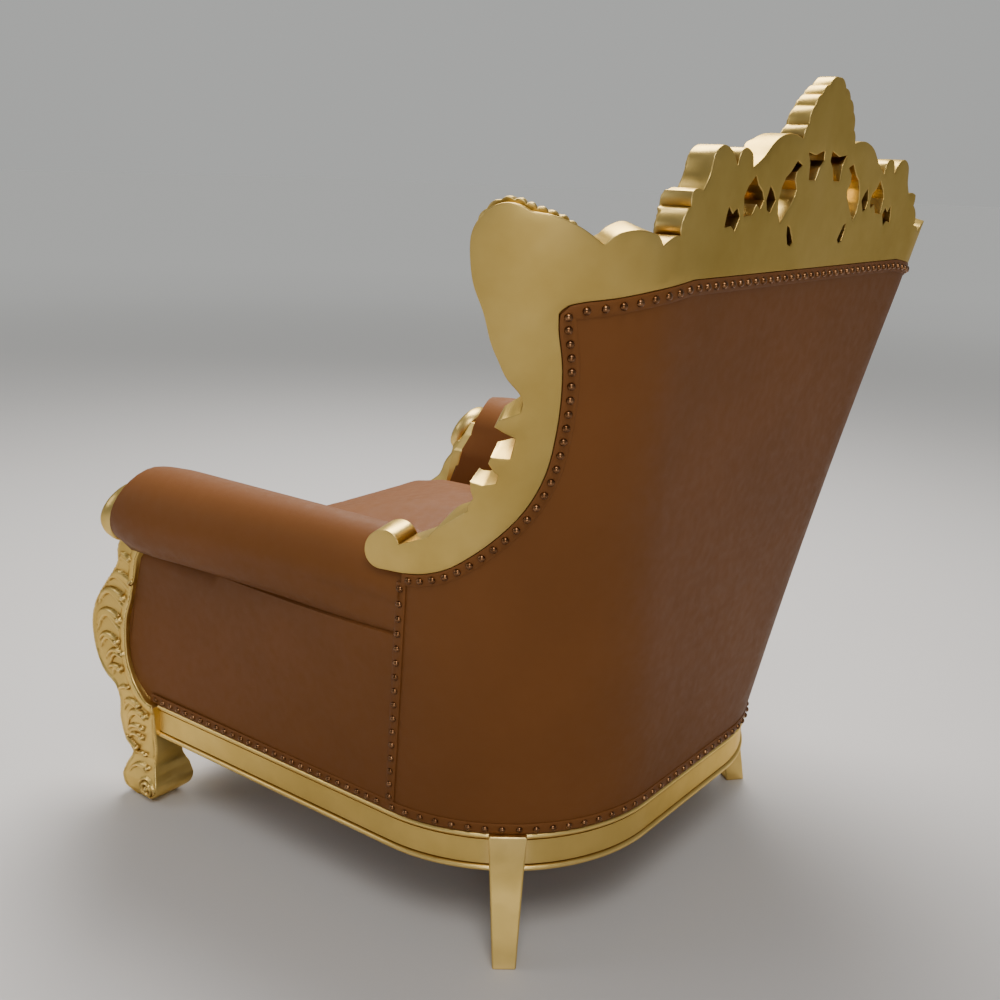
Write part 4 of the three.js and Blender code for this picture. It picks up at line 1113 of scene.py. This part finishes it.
def cheek(name, side):
    front = curve_through([(y, z) for z, y, _ in CHEEK], 6)
    back = curve_through([(y + wide, z) for z, y, wide in CHEEK], 6)[::-1]
    loop = front + back

    def place(y, z, depth):
        y, z, depth = np.broadcast_arrays(y, z, depth)
        round_roll = np.interp(z, [555, 592, 620, 640], [0, 22, 30, 46])
        return np.stack([side * (CHEEK_X + round_roll + depth), y, z], axis=-1)

    piece = slab(
        f"cheek_{name}", [loop], place, near=lambda p: np.zeros(len(p)),
        far=lambda p: np.full(len(p), CHEEK_THICK), spacing=(7, 10), rounding=(2.5, 2), material=GOLD,
        rim_step=5)
    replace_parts(piece, f"front_post_{name}")


for side_name, side in SIDES:
    cheek(side_name, side)

# %% [markdown]
# ## Seat rails and rear legs
# The rail is planed with a bead along each edge and steamed round the tub. Its profile is set down
# at short steps along the tub's bent line, and the profiles are skinned.

# %% Rails
RAIL_BEAD, RAIL_SINK = 10, 3
LEG_ANGLE = math.radians(51)
LEG_U = BASE_W - BASE_R + BASE_R * LEG_ANGLE
UNDER_LEG = 24
POST_BACK = 406.5
SIDE_END = float(corner_end(RAIL_TOP)) + BASE_B - BASE_R + POST_BACK


def rail_profile():
    """Depth and height round the rail's section, with a round bead at each edge."""
    half = RAIL_BEAD / 2
    top, low = RAIL_TOP, RAIL_BOTTOM
    round_bead = [(RAIL_SINK - half * math.sin(a), half * math.cos(a) * 0.95)
                  for a in np.linspace(0.1, 3.0, 8)]
    quirk = [(RAIL_SINK + 1, RAIL_BEAD + 0.5), (RAIL_SINK - 1, RAIL_BEAD + 2),
             (RAIL_SINK - 1, RAIL_BEAD + 4)]
    upper = [(d, top - half + z) for d, z in round_bead] + [(d, top - z) for d, z in quirk]
    lower = [(d, low + z) for d, z in quirk[::-1]] + [(d, low + half + z) for d, z in round_bead]
    return upper + lower + [(RAIL_THICK, low), (RAIL_THICK, top)]


def rail(node, start, end, side=1):
    """A stretch of rail between two places round the tub."""
    depths, heights = zip(*rail_profile())
    rings = []
    for u in np.linspace(start, end, max(2, round((end - start) / 9) + 1)):
        flat = on_tub(side * u, RAIL_TOP, np.array(depths))
        rings.append(np.column_stack([flat[:, :2], heights]))
    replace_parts(loft(f"beaded_{node}", rings, GOLD, sharp=45), node)


rail("back_rail", UNDER_LEG - LEG_U, LEG_U - UNDER_LEG)
for side_name, side in SIDES:
    rail(f"side_rail_{side_name}", LEG_U + UNDER_LEG, SIDE_END, side)

# %% [markdown]
# A rear leg is a tapered block that stands square to the tub's corner and splays outwards. Square
# rings, each scaled and moved, are skinned, and the long edges are bevelled.

# %% Rear legs
LEG_WIDTH, LEG_WIDTH_FLOOR, LEG_DEPTH, LEG_PROUD, LEG_SPLAY, LEG_BEVEL = 58, 36, 46, 9, 32, 2.4
LEG_LEVELS = [0, 12, 28, 45, 66, 90, 116, 142, 174, RAIL_TOP]


def leg_ring(side, z):
    """Four corners of the leg at a height."""
    share = np.interp(z, [0, 45, 90, 142, RAIL_TOP], [1, 0.72, 0.42, 0.1, 0])
    foot = on_tub(side * LEG_U, RAIL_TOP, 0)
    out = np.array([side * math.sin(LEG_ANGLE), math.cos(LEG_ANGLE), 0])
    along = np.array([-out[1], out[0], 0])
    width = mix(LEG_WIDTH, LEG_WIDTH_FLOOR, (RAIL_TOP - z) / RAIL_TOP)
    depth = mix(LEG_DEPTH, LEG_WIDTH_FLOOR, share)
    shift = LEG_SPLAY * share
    corners = [(1, LEG_PROUD), (-1, LEG_PROUD), (-1, LEG_PROUD - depth), (1, LEG_PROUD - depth)]
    ring = [foot + out * (reach + shift) + along * w * width / 2 for w, reach in corners]
    return np.array([(x, y, z) for x, y, _ in ring])


def apply_modifier(piece, kind, **settings):
    select_only(piece)
    modifier = piece.modifiers.new(kind.lower(), kind)
    for key, value in settings.items():
        setattr(modifier, key, value)
    bpy.ops.object.modifier_apply(modifier=modifier.name)


for side_name, side in SIDES:
    leg = loft(f"tapered_rear_leg_{side_name}", [leg_ring(side, z) for z in LEG_LEVELS], GOLD)
    apply_modifier(leg, "BEVEL", width=LEG_BEVEL / 1000, segments=3, limit_method="ANGLE",
                   angle_limit=math.radians(40))
    bpy.ops.object.shade_smooth_by_angle(angle=math.radians(38))
    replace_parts(leg, f"rear_leg_{side_name}")

# %% [markdown]
# ## Front rail
# The apron under the cushion is bowed and cut to a wave, with a shell in the middle and leaves that
# run out from it to the posts.

# %% Front rail
APRON_HALF, APRON_Y, APRON_BOW, APRON_THICK = 374, -470, 12, 32.0
APRON_LOW, APRON_DROP, APRON_WAVE = 136, 34, 8
APRON_HUB = (0, 178)
APRON_LEAVES = [
    ((60, 172), -8, 110, 30, 7, 0.3), ((168, 172), -8, 110, 28, 7, 0.3), ((272, 170), -6, 84, 24, 6, 0.4),
]


def apron_face(x):
    return APRON_Y - APRON_BOW * np.cos(x / APRON_HALF * math.pi / 2) ** 2


def apron_low(x):
    """The lower edge: it drops in the middle and waves three times."""
    dropped = APRON_LOW - APRON_DROP * np.cos(x / APRON_HALF * math.pi / 2) ** 4
    return dropped + APRON_WAVE * np.cos(x / APRON_HALF * 3 * math.pi)


apron_wave = [(float(x), float(apron_low(x))) for x in np.linspace(-APRON_HALF, APRON_HALF, 120)]
apron_loop = apron_wave + [(APRON_HALF, RAIL_TOP), (-APRON_HALF, RAIL_TOP)]


def carve_apron(points):
    """Heights of the apron's carving; one half repeats the other."""
    right = np.abs(points)
    ground = np.zeros(len(points))
    bead(ground, distance_to(points, even_steps(apron_wave, 3)), 6, 4, 3.5)
    bead(ground, RAIL_TOP - points[:, 1], 6, 4, 3)
    for acanthus in APRON_LEAVES:
        leaf(right, ground, *acanthus)
    for degrees in (-90, -60, -30, 0):
        leaf(right, ground, APRON_HUB, degrees, 54, 18, 8, lobes=0)
    bead(ground, np.linalg.norm(points - APRON_HUB, axis=1), 0, 12, 10)
    return ground


def place_apron(x, z, depth):
    return np.stack([x, apron_face(x) + depth, z], axis=-1)


apron = slab(
    "carved_front_rail", [apron_loop], place_apron, near=lambda p: -carve_apron(p),
    far=lambda p: np.full(len(p), APRON_THICK), spacing=(3.2, 16), rounding=(3, 2), material=GOLD)
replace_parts(apron, "front_rail")

# %% [markdown]
# ## Seat deck and loose cushion
# The deck is a firm sprung platform under leather; only its front band shows. The loose cushion is
# sewn from a top, a bottom and a boxing band, stuffed until its crown stands well above the seam. It
# is swollen by a short cloth simulation with air pressure inside, and its welts are laid afterwards.

# %% Deck
def merged_copy(node, name):
    """The node's own solid as a fresh mesh with its loose triangles joined up."""
    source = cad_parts[node]
    piece = bpy.data.objects.new(name, source.data.copy())
    bpy.context.collection.objects.link(piece)
    select_only(piece)
    bpy.ops.object.mode_set(mode="EDIT")
    bpy.ops.mesh.select_all(action="SELECT")
    bpy.ops.mesh.remove_doubles(threshold=0.0001)
    bpy.ops.object.mode_set(mode="OBJECT")
    return piece


deck = merged_copy("seat_deck", "deck_cover")
apply_modifier(deck, "REMESH", mode="VOXEL", voxel_size=0.008)
apply_modifier(deck, "SMOOTH", factor=0.5, iterations=6)
finish_piece(deck, "deck_cover", HIDE, 180)
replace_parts(deck, "seat_deck")


# %% Cushion
CUSHION_PRESSURE, CUSHION_CAP, LAST_FRAME = 4.0, 0.010, 20
CLOTH = {"quality": 5, "mass": 0.4, "tension_stiffness": 30, "compression_stiffness": 30,
         "bending_stiffness": 8}


def swollen(piece, pressure, cap):
    """Blows a closed skin up like a cushion; no point moves further than the cap."""
    start = np.array([v.co for v in piece.data.vertices])
    select_only(piece)
    cloth = piece.modifiers.new("swelling", "CLOTH")
    cloth.settings.use_pressure = True
    cloth.settings.uniform_pressure_force = pressure
    cloth.settings.effector_weights.gravity = 0
    for key, value in CLOTH.items():
        setattr(cloth.settings, key, value)
    for number in range(1, LAST_FRAME + 1):
        bpy.context.scene.frame_set(number)
    shown = piece.evaluated_get(bpy.context.evaluated_depsgraph_get())
    moved = np.array([v.co for v in shown.data.vertices]) - start
    length = np.maximum(np.linalg.norm(moved, axis=1, keepdims=True), 1e-9)
    piece.modifiers.remove(cloth)
    bpy.context.scene.frame_set(1)
    for vertex, place in zip(piece.data.vertices, start + moved * np.minimum(1, cap / length)):
        vertex.co = place


cushion = merged_copy("seat_cushion", "loose_cushion")
cushion_low, cushion_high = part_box("seat_cushion")
apply_modifier(cushion, "REMESH", mode="VOXEL", voxel_size=0.0065)
apply_modifier(cushion, "SMOOTH", factor=0.5, iterations=10)
swollen(cushion, CUSHION_PRESSURE, CUSHION_CAP)
for vertex in cushion.data.vertices:
    vertex.co.z = max(vertex.co.z, cushion_low[2])
apply_modifier(cushion, "SUBSURF", levels=1, render_levels=1)
finish_piece(cushion, "loose_cushion", HIDE, 180)
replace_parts(cushion, "seat_cushion")

# %% [markdown]
# A welt is a cord wrapped in the same hide and sewn into a seam. It is laid as a closed curve that
# hugs the swollen cushion along the edge of its top and of its bottom, then given its thickness.

# %% Welts
WELT_R, WELT_POINTS = 3.4, 72
WELT_SQUARENESS = 0.6
WELT_TOP, WELT_BOTTOM = 466, DECK_TOP + 12


def welt(name, padded, height):
    """A round cord laid where the padded piece's side meets its top or bottom."""
    low, high = Vector(cushion_low), Vector(cushion_high)
    centre = Vector((*((low + high) / 2).xy, height))
    path = []
    for angle in np.arange(WELT_POINTS) * 2 * math.pi / WELT_POINTS:
        c, s = math.cos(angle), math.sin(angle)
        ray = Vector((math.copysign(abs(c) ** WELT_SQUARENESS * (high.x - low.x), c),
                      math.copysign(abs(s) ** WELT_SQUARENESS * (high.y - low.y), s), 0))
        hit, place, *_ = padded.ray_cast(centre + ray, -ray.normalized())
        path.append(place if hit else centre + ray / 2)
    curve = bpy.data.curves.new(name, "CURVE")
    curve.dimensions = "3D"
    line = curve.splines.new("POLY")
    line.points.add(len(path) - 1)
    for point, place in zip(line.points, path):
        point.co = (place.x, place.y, height, 1)
    line.use_cyclic_u = True
    curve.bevel_depth = WELT_R / 1000
    curve.bevel_resolution = 2
    piece = bpy.data.objects.new(name, curve)
    bpy.context.collection.objects.link(piece)
    select_only(piece)
    bpy.ops.object.convert(target="MESH")
    finish_piece(bpy.context.object, name, HIDE, 60)


welt("cushion_top_welt", cushion, WELT_TOP / 1000)
welt("cushion_bottom_welt", cushion, WELT_BOTTOM / 1000)

# %% [markdown]
# ## Trim and nails
# Every edge of leather that meets wood is covered by a narrow folded strip of the same hide, held by
# dome-headed nails about an inch apart. The strip is a low half round laid on the bent surface; the
# nail is modelled once and set along it.

# %% Trim strips
TRIM_WIDTH, SEAM_WIDTH, TRIM_RISE, TRIM_SINK = 19, 17, 1.7, 1.5
# across the strip as shares of its width, and up as shares of its rise
HALF_ROUND = [(-0.5, 0.4), (-0.42, 0.8), (-0.28, 1), (0.28, 1), (0.42, 0.8), (0.5, 0.4)]


def strip(name, line, width=TRIM_WIDTH, place=on_tub):
    """A folded strip that lies along a line drawn on a bent surface."""
    middle = even_steps(line, 7)
    shares = np.array([-0.5] + [a for a, _ in HALF_ROUND] + [0.5])
    depth = np.array([TRIM_SINK] + [-h * TRIM_RISE for _, h in HALF_ROUND] + [TRIM_SINK])
    rings = []
    for centre, normal in zip(middle, line_normals(middle)):
        across = centre + np.outer(shares * width, normal)
        rings.append(place(across[:, 0], across[:, 1], depth))
    loft(name, rings, HIDE, sharp=50)


leather_edge = lower_edge()
crest_trim_line = shifted(leather_edge + mirrored(leather_edge)[::-1][1:], TRIM_WIDTH / 2 + 0.4)
rail_reach = SIDE_END + 20
rail_trim_z = RAIL_TOP + TRIM_WIDTH / 2 + 0.6
rail_trim_line = [(u, rail_trim_z) for u in np.linspace(-rail_reach, rail_reach, 300)]
strip("crest_trim", crest_trim_line)
strip("rail_trim", rail_trim_line)
seam_lines = {}
for side_name, side in SIDES:
    heights = np.linspace(RAIL_TOP + TRIM_WIDTH, SEAM_TOP_Z - 4, 40)
    seam_lines[side_name] = [(side * (float(corner_end(z)) - 1), z) for z in heights]
    strip(f"seam_trim_{side_name}", seam_lines[side_name], SEAM_WIDTH)

# %% Nails
RAIL_PITCH, ARM_PITCH, SEAM_PITCH, CREST_PITCH, WING_PITCH = 25.5, 21, 24.5, 22.5, 18.7
NAIL_RADIUS, NAIL_FLATTENED = 5.3, 0.85
CREST_CORNER_Z = 1003

bpy.ops.object.select_all(action="DESELECT")
bpy.ops.mesh.primitive_uv_sphere_add(segments=10, ring_count=8, radius=NAIL_RADIUS)
model_nail = bpy.context.object
bpy.ops.object.mode_set(mode="EDIT")
bpy.ops.mesh.select_all(action="SELECT")
bpy.ops.mesh.bisect(plane_co=(0, 0, 0), plane_no=(0, 0, 1), clear_inner=True, use_fill=True)
bpy.ops.mesh.select_all(action="SELECT")
bpy.ops.transform.resize(value=(1, 1, NAIL_FLATTENED))
bpy.ops.object.mode_set(mode="OBJECT")
nail_points = np.array([v.co for v in model_nail.data.vertices])
nail_faces = [tuple(p.vertices) for p in model_nail.data.polygons]
bpy.data.objects.remove(model_nail)
print("nail:", len(nail_faces), "faces")


def nails(name, line, pitch, place=on_tub):
    """A row of nails that stand square to the surface, on the trim strip."""
    vertices, faces = [], []
    for a, b in even_steps(line, pitch):
        foot = place(a, b, -TRIM_RISE)
        out = place(a, b, -TRIM_RISE - 1) - place(a, b, -TRIM_RISE + 1)
        turn = Vector(out).to_track_quat("Z", "Y").to_matrix()
        start = len(vertices) * len(nail_points)
        vertices.append(nail_points @ np.array(turn).T + foot)
        faces += [tuple(i + start for i in face) for face in nail_faces]
    finish_mesh(name, np.concatenate(vertices), faces, BRONZE, 60)


crest_line = [tuple(p) for p in even_steps(crest_trim_line, 4)[3:-3]]
corner = next(i for i, (_, z) in enumerate(crest_line) if z > CREST_CORNER_Z)
nails("crest_nails", crest_line[corner:-corner], CREST_PITCH)
nails("wing_nails_left", crest_line[:corner - 3], WING_PITCH)
nails("wing_nails_right", crest_line[3 - corner:], WING_PITCH)
back_reach = float(corner_end(RAIL_TOP))
nails("back_rail_nails", [p for p in rail_trim_line if abs(p[0]) < back_reach], RAIL_PITCH)
for side_name, side in SIDES:
    nails(f"seam_nails_{side_name}", seam_lines[side_name][1:-1], SEAM_PITCH)
    beside_arm = [p for p in rail_trim_line[2:-2] if p[0] * side > back_reach + ARM_PITCH]
    nails(f"side_rail_nails_{side_name}", beside_arm, ARM_PITCH)

# %% Deck trim
DECK_FACE_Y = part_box("seat_deck")[0][1] * 1000
DECK_TRIM_HALF, DECK_TRIM_UP = 350, 14


def deck_face(x, z, depth):
    """The plane of the deck's front band."""
    x, z, depth = np.broadcast_arrays(x, z, depth)
    return np.stack([x, DECK_FACE_Y + depth, z], axis=-1)


deck_line = [(x, RAIL_TOP + DECK_TRIM_UP) for x in np.linspace(-DECK_TRIM_HALF, DECK_TRIM_HALF, 60)]
strip("deck_trim", deck_line, place=deck_face)
nails("deck_nails", deck_line[1:-1], RAIL_PITCH, place=deck_face)

# %% [markdown]
# ## Sizes
# The frame's box and the dressed throne's box are printed side by side. The dressed throne
# must not outgrow its frame.

# %% Sizes and finish
looks_box = [list(corner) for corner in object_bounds()]
print("frame box", [[round(c, 4) for c in corner] for corner in cad_box])
print("looks box", [[round(c, 4) for c in corner] for corner in looks_box])
